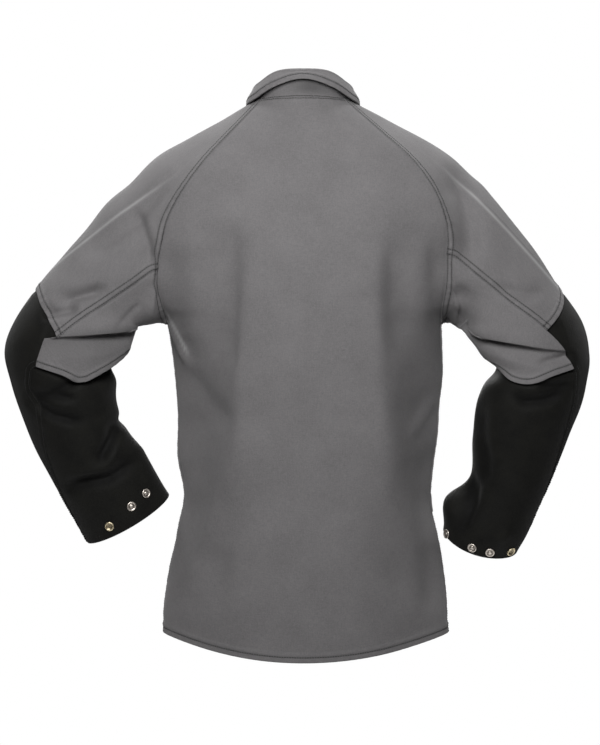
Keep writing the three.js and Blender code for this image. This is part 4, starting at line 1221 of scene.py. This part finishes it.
HEM_FLARE = 2.5  # how far the under panel's end stands off the leather
FLARE_WIDTH = 12
SHELF_STEP = 0.8  # grid step beside the shelf
SHELF_BAND = 14
LOBE_STEP = (1.0, 1.08)  # where the panel's edge moves out to the lobe's: 1 is the shelf
CREASE_LIGHT_WIDTH = 2.0  # half width of the light line on an ironed crease: a painted highlight that also stands for wear
CREASE_LIGHT_FROM = 0.3  # rings from the raglan seam at which the crease's painted highlight and shade begin
BAND_SHADE = 0.22  # how much painted shade darkens the cloth beside that line, on its outer side
# The lines of the painted crease highlight as (x, z), and how wide the band of painted shade is on
# either side.
left_arm.worn_line = [(160, -96), (250, -158), (345, -231), (392, -270)]
right_arm.worn_line = [(-166, -75), (-225, -126), (-275, -178), (-350, -260), (-386, -302)]
left_arm.dark_widths = (16, 2)
right_arm.dark_widths = (2, 16)


def upper_end(arm, share):
    """The ring at which the upper panel ends, for a share across it."""
    middle, seam = arm.upper_end
    return between(middle, seam, np.abs(2 * share - 1) ** arm.end_curve)


def under_end(arm, share):
    """The ring at which the under panel ends, for a share across it."""
    return through(arm.under_end, share * (CROOK_STATIONS - 1))


def top_angle(arm, share, along):
    """The angle of a share across the upper panel, from its back seam to its front one."""
    return between(through(arm.back_seam, along), -through(FRONT_SEAM, along), share)


def under_angle(arm, share, along):
    """The angle of a share across the lower half, from its back seam to its front one."""
    return between(through(arm.back_seam, along), 360 - through(FRONT_SEAM, along), share)


def sew_upper_sleeve(arm):
    """The panel from the neck and the raglan seams over the outer side to the elbow."""
    share, line = np.meshgrid(graded(300, 1.3), graded(300, 3.0))
    along = line * upper_end(arm, share)
    angle = top_angle(arm, share, along)
    points = sleeve_shape(arm, angle, along)
    # painted highlight (also wear) along the ironed crease, and painted shade in a band on its outer
    # side
    highlight_side = (angle > 0) & (along > CREASE_LIGHT_FROM)
    crease_highlight = fold_depth({"line": (arm.worn_line, CREASE_LIGHT_WIDTH, CREASE_LIGHT_WIDTH, 1)}, points, highlight_side)
    band_shade = fold_depth({"band": (arm.worn_line, *arm.dark_widths, BAND_SHADE)}, points, highlight_side)
    raglan = np.abs(angle[0]) >= NECK_EDGE_ANGLE
    behind = angle[0] > 0
    seams = [
        ("start", raglan & behind, "lapped"),
        ("start", raglan & ~behind, "lapped"),
        ("start", ~raglan, "neck"),
        ("left", None, "lapped"),
        ("right", None, "lapped"),
        ("end", None, "turned"),
    ]
    sew_panel(
        f"{arm.hand}_sleeve_top", points, arm.side, seams, COTTON,
        dirt=band_shade * (1 - crease_highlight), worn=crease_highlight,
    )


def sew_under_sleeve(arm):
    """The panel from the armpit to the crook's lobe: line is 0 at the armpit, 1 at the shelf and 2 at
    the lobe's end."""
    above = graded(220, 3.6, SHELF_STEP, SHELF_BAND)
    below = graded(75, 2.4, SHELF_STEP, SHELF_BAND)
    share, line = np.meshgrid(graded(330, 3.6), np.concatenate([above[:-1], 1 + below]))
    shelf = through(arm.crook, share * (CROOK_STATIONS - 1))
    along = np.where(line < 1, line * shelf, between(shelf, under_end(arm, share), line - 1))
    lobe_edge = between(*arm.lobe_edge, np.clip(line - 1, 0, 1))
    edge = between(through(arm.back_seam, along), lobe_edge, ease(line, *LOBE_STEP))
    angle = between(edge, 360 - through(FRONT_SEAM, along), share)
    points = sleeve_shape(arm, angle, along)
    behind = angle[0] < 180
    seams = [
        ("start", behind, "lapped"),
        ("start", ~behind, "lapped"),
        ("left", line[:, 0] < 1, "under"),
        ("right", line[:, 0] < 1, "under"),
        ("end", None, "turned"),
    ]
    hem_gap = np.linalg.norm(points - points[-1], axis=-1)
    shelf_gap = np.linalg.norm(points - points[len(above) - 1], axis=-1)
    shelf_gap = np.where(line < 1, SHADE_ABOVE * shelf_gap, shelf_gap)
    # painted shade in the crook: darkens the cloth below the shelf, where the lip shades it
    darkness, shade_width = arm.crook_dirt
    crook_share = through(arm.crook_depth, share * (CROOK_STATIONS - 1)) / max(arm.crook_depth)
    sew_panel(
        f"{arm.hand}_sleeve_under", points, -arm.side, seams, COTTON,
        relief=HEM_FLARE * bump(hem_gap, FLARE_WIDTH),
        dirt=darkness * bump(shelf_gap, shade_width) * crook_share,
    )


for arm in (left_arm, right_arm):
    sew_upper_sleeve(arm)
    sew_under_sleeve(arm)

# %% [markdown]
# ## The leather sleeves
# The leather starts under the cotton and ends at a raw cuff. Its outer piece covers the elbow and the
# outer side below it, and the inner piece the rest. Where cotton lies on it the leather sinks by
# the cloth's thickness, so the cotton's edge stands on it and casts a thin shadow.

# %% Outer and inner leather
SUNK = 2.0  # how far the leather lies below the cotton on it
SINK_WIDTH = 6  # in which it comes up again past the cotton's edge
SINK_END = (-0.2, 0.1)  # rings from the lobe's end in which it comes up there
TUCK = 0.28  # rings that the leather goes on under the cotton
TUCK_ANGLE = 7  # degrees that the outer piece goes on under the under panel
TUCK_END = (-0.1, 0.15)  # rings from the lobe's end in which that stops
DEGREE = 1.35  # millimetres round the sleeve in one degree
RING = 40  # millimetres along the sleeve in one ring
SHADED_FOLD_DEPTH = 7  # depth from which a fold's painted shade is at its darkest


def sew_outer_leather(arm):
    """The leather over the elbow and the outer side, tucked under both cotton panels."""
    share, line = np.meshgrid(graded(230, 3.4), graded(300, 3.0))
    cotton_end = upper_end(arm, share)
    along = between(cotton_end - TUCK, CUFF, line)
    lobe_end = arm.under_end[0]
    back_edge = through(arm.back_seam, along)
    lobe_edge = np.minimum(back_edge, between(*arm.lobe_edge, ease(along, arm.crook[0], lobe_end)))
    tucked = TUCK_ANGLE * (1 - ease(along - lobe_end, *TUCK_END))
    angle = between(back_edge + tucked, -through(FRONT_SEAM, along) - tucked, share)
    past_end = (along - cotton_end) * RING
    past_side = (lobe_edge - angle) * DEGREE
    past_front = (angle + through(FRONT_SEAM, along)) * DEGREE
    beside = 1 - np.minimum(ease(past_side, 0, SINK_WIDTH), ease(past_front, 0, SINK_WIDTH))
    above_lobe = 1 - ease(along - lobe_end, *SINK_END)
    sunk = SUNK * np.maximum(1 - ease(past_end, 0, SINK_WIDTH), beside * above_lobe)
    free = along[:, 0] > lobe_end
    seams = [("left", free, "lapped"), ("right", free, "lapped")]
    sew_panel(
        f"{arm.hand}_forearm_outer", sleeve_shape(arm, angle, along, True), arm.side, seams, LEATHER,
        relief=-sunk,
    )


def sew_inner_leather(arm):
    """The leather round the rest of the lower sleeve, with painted shade in its folds."""
    share, line = np.meshgrid(graded(280, 3.4), graded(190, 2.8))
    cotton_end = under_end(arm, share)
    along = between(cotton_end - TUCK, CUFF, line)
    angle = under_angle(arm, share, along)
    sunk = SUNK * (1 - ease((along - cotton_end) * RING, 0, SINK_WIDTH))
    seams = [("left", None, "under"), ("right", None, "under")]
    points = sleeve_shape(arm, angle, along, True)
    # painted shade in the folds: the deeper the fold, the darker
    fold_shade = np.clip(fold_depth(arm.folds, points, angle < 180) / SHADED_FOLD_DEPTH, 0, 1)
    sew_panel(
        f"{arm.hand}_forearm_inner", points, -arm.side, seams, LEATHER,
        relief=-sunk, dirt=fold_shade,
    )


for arm in (left_arm, right_arm):
    sew_outer_leather(arm)
    sew_inner_leather(arm)

# %% [markdown]
# ## The collar
# The collar is one strip of doubled cotton: it stands up from the neck seam, rolls over and falls to
# the outside. A profile that changes a little from the back to the front ends is carried round the
# neck edge. The roll is a real half circle, so its top catches a line of light.

# %% Collar
COLLAR_ROLL = 3.6  # radius of the half circle
ROLL_TURNS = np.radians([180, 150, 120, 90, 60, 30, 0])
COLLAR_BULGE = 2  # how far the middle of the fall stands out
COLLAR_END = 0.975  # share of the way round at which the collar ends in front
COLLAR_COLUMNS = 190
COLLAR_ROWS = (40, 26)  # as far as the fall's lower part, and down that
FALL_FROM = 0.8  # where that part starts, as a share of the section
STAND_FROM = (0.08, 0.15)  # shares of the section at which the stand's shaded part starts
STAND_TO = (0.3, 0.4)  # and ends
NECK_STEP = 0.004  # for the direction of the neck edge, as a share of the way round
NECK_SHADE = 0.18  # how dark the painted shade is on the top of the stand, where the fall shades it
NECK_PATCH = (-12, 24, 0.62)  # middle, width and darkness of a patch of painted shade in the stand, as of a soft hollow
STAND_FOOT = ((-3.2, -9), (-2.2, -0.5))  # out and up, where the stand goes on inside the neck seam
STAND_MIDDLE = (0.7, 0.5)  # shares of its lean and of its height
COLLAR = columns("rise lean out up", {
    # at every 30 degrees from the back to the throat
    "back": (35.7, -2, 9, 21.2),
    "back_bend": (34.3, -2, 10, 12.2),
    "back_corner": (22.5, -3, 13, -3),
    "side": (17, -4, 10, -6),
    "front_corner": (21, -4, 12, -6),
    "front_bend": (25, -2, 18, -9),
    "front": (27, 0, 22, -12),
})


def neck_edge(w):
    """The neck edge: w is 0 at the back and -1 and 1 at the throat's right and left side."""
    side = np.where(w < 0, -1.0, 1.0)
    turn = np.abs(w) * 180
    back = body_point(BACK, np.clip(side * turn / BACK_NECK_CORNER, -1, 1), np.full_like(w, NECK))
    front_u = np.clip(side * (180 - turn) / FRONT_NECK_CORNER, -1, 1)
    front = body_point(FRONT, front_u, np.full_like(w, NECK))
    share = np.clip((turn - BACK_NECK_CORNER) / (180 - FRONT_NECK_CORNER - BACK_NECK_CORNER), 0, 1)
    shoulder = sleeve_neck_point(side, share)
    edge = np.where((turn <= BACK_NECK_CORNER)[:, None], back, shoulder)
    return np.where((turn >= 180 - FRONT_NECK_CORNER)[:, None], front, edge)


def collar_points(around, section):
    """Carries the section round the neck edge. The section goes up the stand, over a half circle
    and down the fall, each point measured out from the neck edge and up from it."""
    station = (1 + around) * (len(COLLAR["rise"]) - 1)
    mirrored = {name: np.concatenate([values[:0:-1], values]) for name, values in COLLAR.items()}
    rise, lean, out, up = (through(mirrored[name], station) for name in ("rise", "lean", "out", "up"))
    top = rise - COLLAR_ROLL
    far = lean + 2 * COLLAR_ROLL
    outs = [np.full_like(lean, foot_out) for foot_out, foot_up in STAND_FOOT]
    ups = [np.full_like(lean, foot_up) for foot_out, foot_up in STAND_FOOT]
    outs += [lean * STAND_MIDDLE[0]]
    ups += [top * STAND_MIDDLE[1]]
    outs += [lean + COLLAR_ROLL * (1 + np.cos(turn)) for turn in ROLL_TURNS]
    ups += [top + COLLAR_ROLL * np.sin(turn) for turn in ROLL_TURNS]
    outs += [(far + out) / 2 + COLLAR_BULGE, out]
    ups += [(top + up) / 2, up]
    profile = np.stack([np.array(outs), np.array(ups)], -1)
    places = section * (len(outs) - 1)
    padded = np.concatenate([2 * profile[:1] - profile[1:2], profile, 2 * profile[-1:] - profile[-2:-1]])
    i = np.minimum(np.floor(places).astype(int), len(outs) - 2)
    t = (places - i)[:, None, None]
    measured = catmull_rom(padded[i], padded[i + 1], padded[i + 2], padded[i + 3], t)
    before, after = steps(around, NECK_STEP, -1, 1)
    step = neck_edge(after) - neck_edge(before)
    outward = unit(np.stack([-step[:, 1], step[:, 0], 0 * step[:, 0]], -1))
    base = neck_edge(around)
    upward = np.array([0.0, 0.0, 1.0])
    return base + measured[..., :1] * outward + measured[..., 1:] * upward


collar_around = np.linspace(-COLLAR_END, COLLAR_END, COLLAR_COLUMNS)
upper_rows = np.linspace(0, FALL_FROM, COLLAR_ROWS[0])
lower_rows = np.linspace(FALL_FROM, 1, COLLAR_ROWS[1])
collar_section = np.concatenate([upper_rows[:-1], lower_rows])
collar_grid = collar_points(collar_around, collar_section)
stand_top = ease(collar_section, *STAND_FROM) * (1 - ease(collar_section, *STAND_TO))
# painted shade on the top of the stand, under the fall, and in a patch as of a hollow
patch_x, patch_width, patch_shade = NECK_PATCH
stand_shade = NECK_SHADE + patch_shade * bump(collar_grid[..., 0] - patch_x, patch_width)
collar_seams = [("end", None, "turned"), ("left", None, "turned"), ("right", None, "turned")]
sew_panel(
    "collar", collar_grid, 1, collar_seams, DOUBLED_COTTON,
    dirt=stand_shade * stand_top[:, None],
)

# %% [markdown]
# ## Snaps
# Each cuff closes with metal snaps. A snap is turned: a rolled rim, a dish, and a small button in the
# middle, or an open ring on the two that are brass. One profile carried round a circle gives each,
# set on the leather along its normal, with a washer on the inside.

# %% Snaps on the cuffs
SNAP_SIDES = 40
# Profiles from the washer inside the cuff to the cap: radius and height above the leather.
SNAP_BACK = [(3.0, -4.2), (5.0, -4.2), (5.3, -3.7), (5.0, -3.2), (2.3, -3.0), (2.3, 0.3), (5.9, 0.3)]
BUTTON = [
    (6.3, 0.7), (6.4, 1.2), (6.1, 1.8), (5.4, 2.0), (4.6, 1.7), (4.1, 1.1), (3.0, 1.1), (2.6, 1.8),
    (2.0, 2.3), (0.9, 2.4),
]
RING_CAP = [
    (6.3, 0.7), (6.4, 1.3), (6.1, 2.0), (5.3, 2.3), (4.4, 2.0), (3.8, 1.2), (3.4, 0.6), (2.2, 0.5),
    (0.9, 0.5),
]
GRIME = {"nickel": (4.6, 2.4), "brass": (4.2, 0.0)}  # radii between which a cap's dish is dirty
DISH_FLOOR = 0.4  # height above which a point belongs to the cap
SNAP_STEP_ANGLE = 2.0  # steps for the leather's normal, in degrees and rings
SNAP_STEP_ALONG = 0.05
# Each snap: degrees round from the sleeve's outer side, distance from the cuff's edge, and metal.
SNAPS = {
    "left": ((134, 28, "nickel"), (109, 25, "nickel"), (74, 15.5, "brass"), (340, 13, "nickel")),
    "right": ((113, 9, "nickel"), (83, 9.5, "nickel"), (46, 11, "brass"), (163, 4, "nickel")),
}


def turned_snap(name, middle, axis, metal):
    """A profile of radius and height carried round an axis, closed by a pole at each end."""
    profile = np.array(SNAP_BACK + (BUTTON if metal == "nickel" else RING_CAP))
    first = unit(np.cross(axis, [0.0, 0.0, 1.0]))
    second = np.cross(axis, first)
    turn = TWO_PI * np.arange(SNAP_SIDES) / SNAP_SIDES
    circle = np.cos(turn)[:, None] * first + np.sin(turn)[:, None] * second
    rings = profile[:, None, :1] * circle + profile[:, None, 1:] * axis
    poles = profile[[0, -1], 1:] * axis
    points = middle + np.concatenate([poles[:1], rings.reshape(-1, 3), poles[1:]])
    triangles, quads = capped_faces(len(profile), SNAP_SIDES)
    mesh = faces_mesh(name, points, triangles.tolist() + quads.tolist())
    outer, inner = GRIME[metal]
    in_dish = (profile[:, 0] < outer) & (profile[:, 0] > inner) & (profile[:, 1] > DISH_FLOOR)
    grime = np.concatenate([[0], np.repeat(in_dish, SNAP_SIDES), [metal == "brass"]]).astype(float)
    mesh.attributes.new("seam_shade", "FLOAT", "POINT").data.foreach_set("value", grime)
    material = nickel_material if metal == "nickel" else brass_material
    return add_object(name, mesh, material)


for arm in (left_arm, right_arm):
    for number, (angle, from_edge_by, metal) in enumerate(SNAPS[arm.hand], 1):
        angles = np.full(2, float(angle))
        edge, inside = sleeve_point(arm, angles, np.array([CUFF, CUFF - 1]))
        along = CUFF - from_edge_by / np.linalg.norm(edge - inside)
        round_steps = SNAP_STEP_ANGLE * np.array([-1, 1, 0, 0, 0])
        down_steps = SNAP_STEP_ALONG * np.array([0, 0, -1, 1, 0])
        near = sleeve_shape(arm, angle + round_steps, along + down_steps, True)
        before, after, above, below, middle = near
        axis = unit(np.cross(below - above, after - before)) * arm.side
        snap = turned_snap(f"{arm.hand}_snap_{number}", middle, axis, metal)
        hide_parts(f"{arm.hand}_cuff_snap_{number}")
print("snaps:", sum(len(row) for row in SNAPS.values()))

# %% [markdown]
# ## Studio
# The photograph has a white background and soft light from the camera's side, so the middle of the
# back is brightest and the sides turn dark. One area light behind the jacket does this. Two more,
# above and in front, put a light edge on the shoulders, two weak ones at the sides put a faint edge on
# the leather, and one lights the front. The world is white where it is seen and weaker as a light, or
# it would flatten the folds.

# %% Floor, world and lights
FLOOR_Z = -1.45  # metres, well below the hem
FLOOR_RADIUS = 1.2
FLOOR_SIDES = 96
WORLD_LIGHT = 0.05
LIGHTS = {
    # place, aim, size in metres, power in watts
    "key": ((0.12, 1.5, 0.42), (0.0, 0.0, 0.12), 0.8, 31),
    "left_rim": ((1.0, -1.0, 2.1), (0.2, 0.0, -0.2), 0.9, 36),
    "left_side": ((2.0, -0.7, 0.5), (0.3, 0.0, -0.35), 0.9, 9),
    "right_rim": ((-1.0, -1.0, 2.1), (-0.2, 0.0, -0.2), 0.9, 36),
    "right_side": ((-2.0, -0.7, 0.5), (-0.3, 0.0, -0.35), 0.9, 12),
    "front": ((0.4, -3.0, 0.8), (0.0, 0.0, -0.35), 1.8, 60),
}

floor_turn = TWO_PI * np.arange(FLOOR_SIDES) / FLOOR_SIDES
floor_points = np.stack([np.cos(floor_turn), np.sin(floor_turn), 0 * floor_turn], 1) * FLOOR_RADIUS
floor_points[:, 2] = FLOOR_Z
floor_mesh = bpy.data.meshes.new("floor")
floor_mesh.from_pydata(floor_points.tolist(), [], [list(range(FLOOR_SIDES))])
pale = Finish("pale_floor")
floor_place = pale.node("ShaderNodeTexCoord", output="Object")
floor_mesh.materials.append(pale.surface({
    "Base Color": pale.mix(grey(0.74), grey(0.78), pale.noise(floor_place, 6.0, 2.0)),
    "Roughness": 0.9,
}))
floor = bpy.data.objects.new("floor", floor_mesh)
bpy.context.scene.collection.objects.link(floor)

world = bpy.data.worlds.new("studio")
world.use_nodes = True
bpy.context.scene.world = world
background = world.node_tree.nodes["Background"]
background.inputs["Color"].default_value = (1, 1, 1, 1)
seen = world.node_tree.nodes.new("ShaderNodeLightPath")
level = world.node_tree.nodes.new("ShaderNodeMapRange")
level.inputs["To Min"].default_value = WORLD_LIGHT
level.inputs["To Max"].default_value = 1.0
world.node_tree.links.new(seen.outputs["Is Camera Ray"], level.inputs["Value"])
world.node_tree.links.new(level.outputs["Result"], background.inputs["Strength"])

for name, (place, aim, size, power) in LIGHTS.items():
    lamp = bpy.data.lights.new(name, "AREA")
    lamp.shape = "DISK"
    lamp.size = size
    lamp.energy = power
    holder = bpy.data.objects.new(name, lamp)
    towards = np.array(place) - np.array(aim)
    level_reach = np.hypot(towards[0], towards[1])
    tilt = np.arctan2(level_reach, towards[2])
    holder.location = place
    holder.rotation_euler = (tilt, 0, np.arctan2(towards[0], -towards[1]))
    bpy.context.scene.collection.objects.link(holder)

bpy.context.scene.view_settings.view_transform = "Standard"
print("lights:", len(LIGHTS))
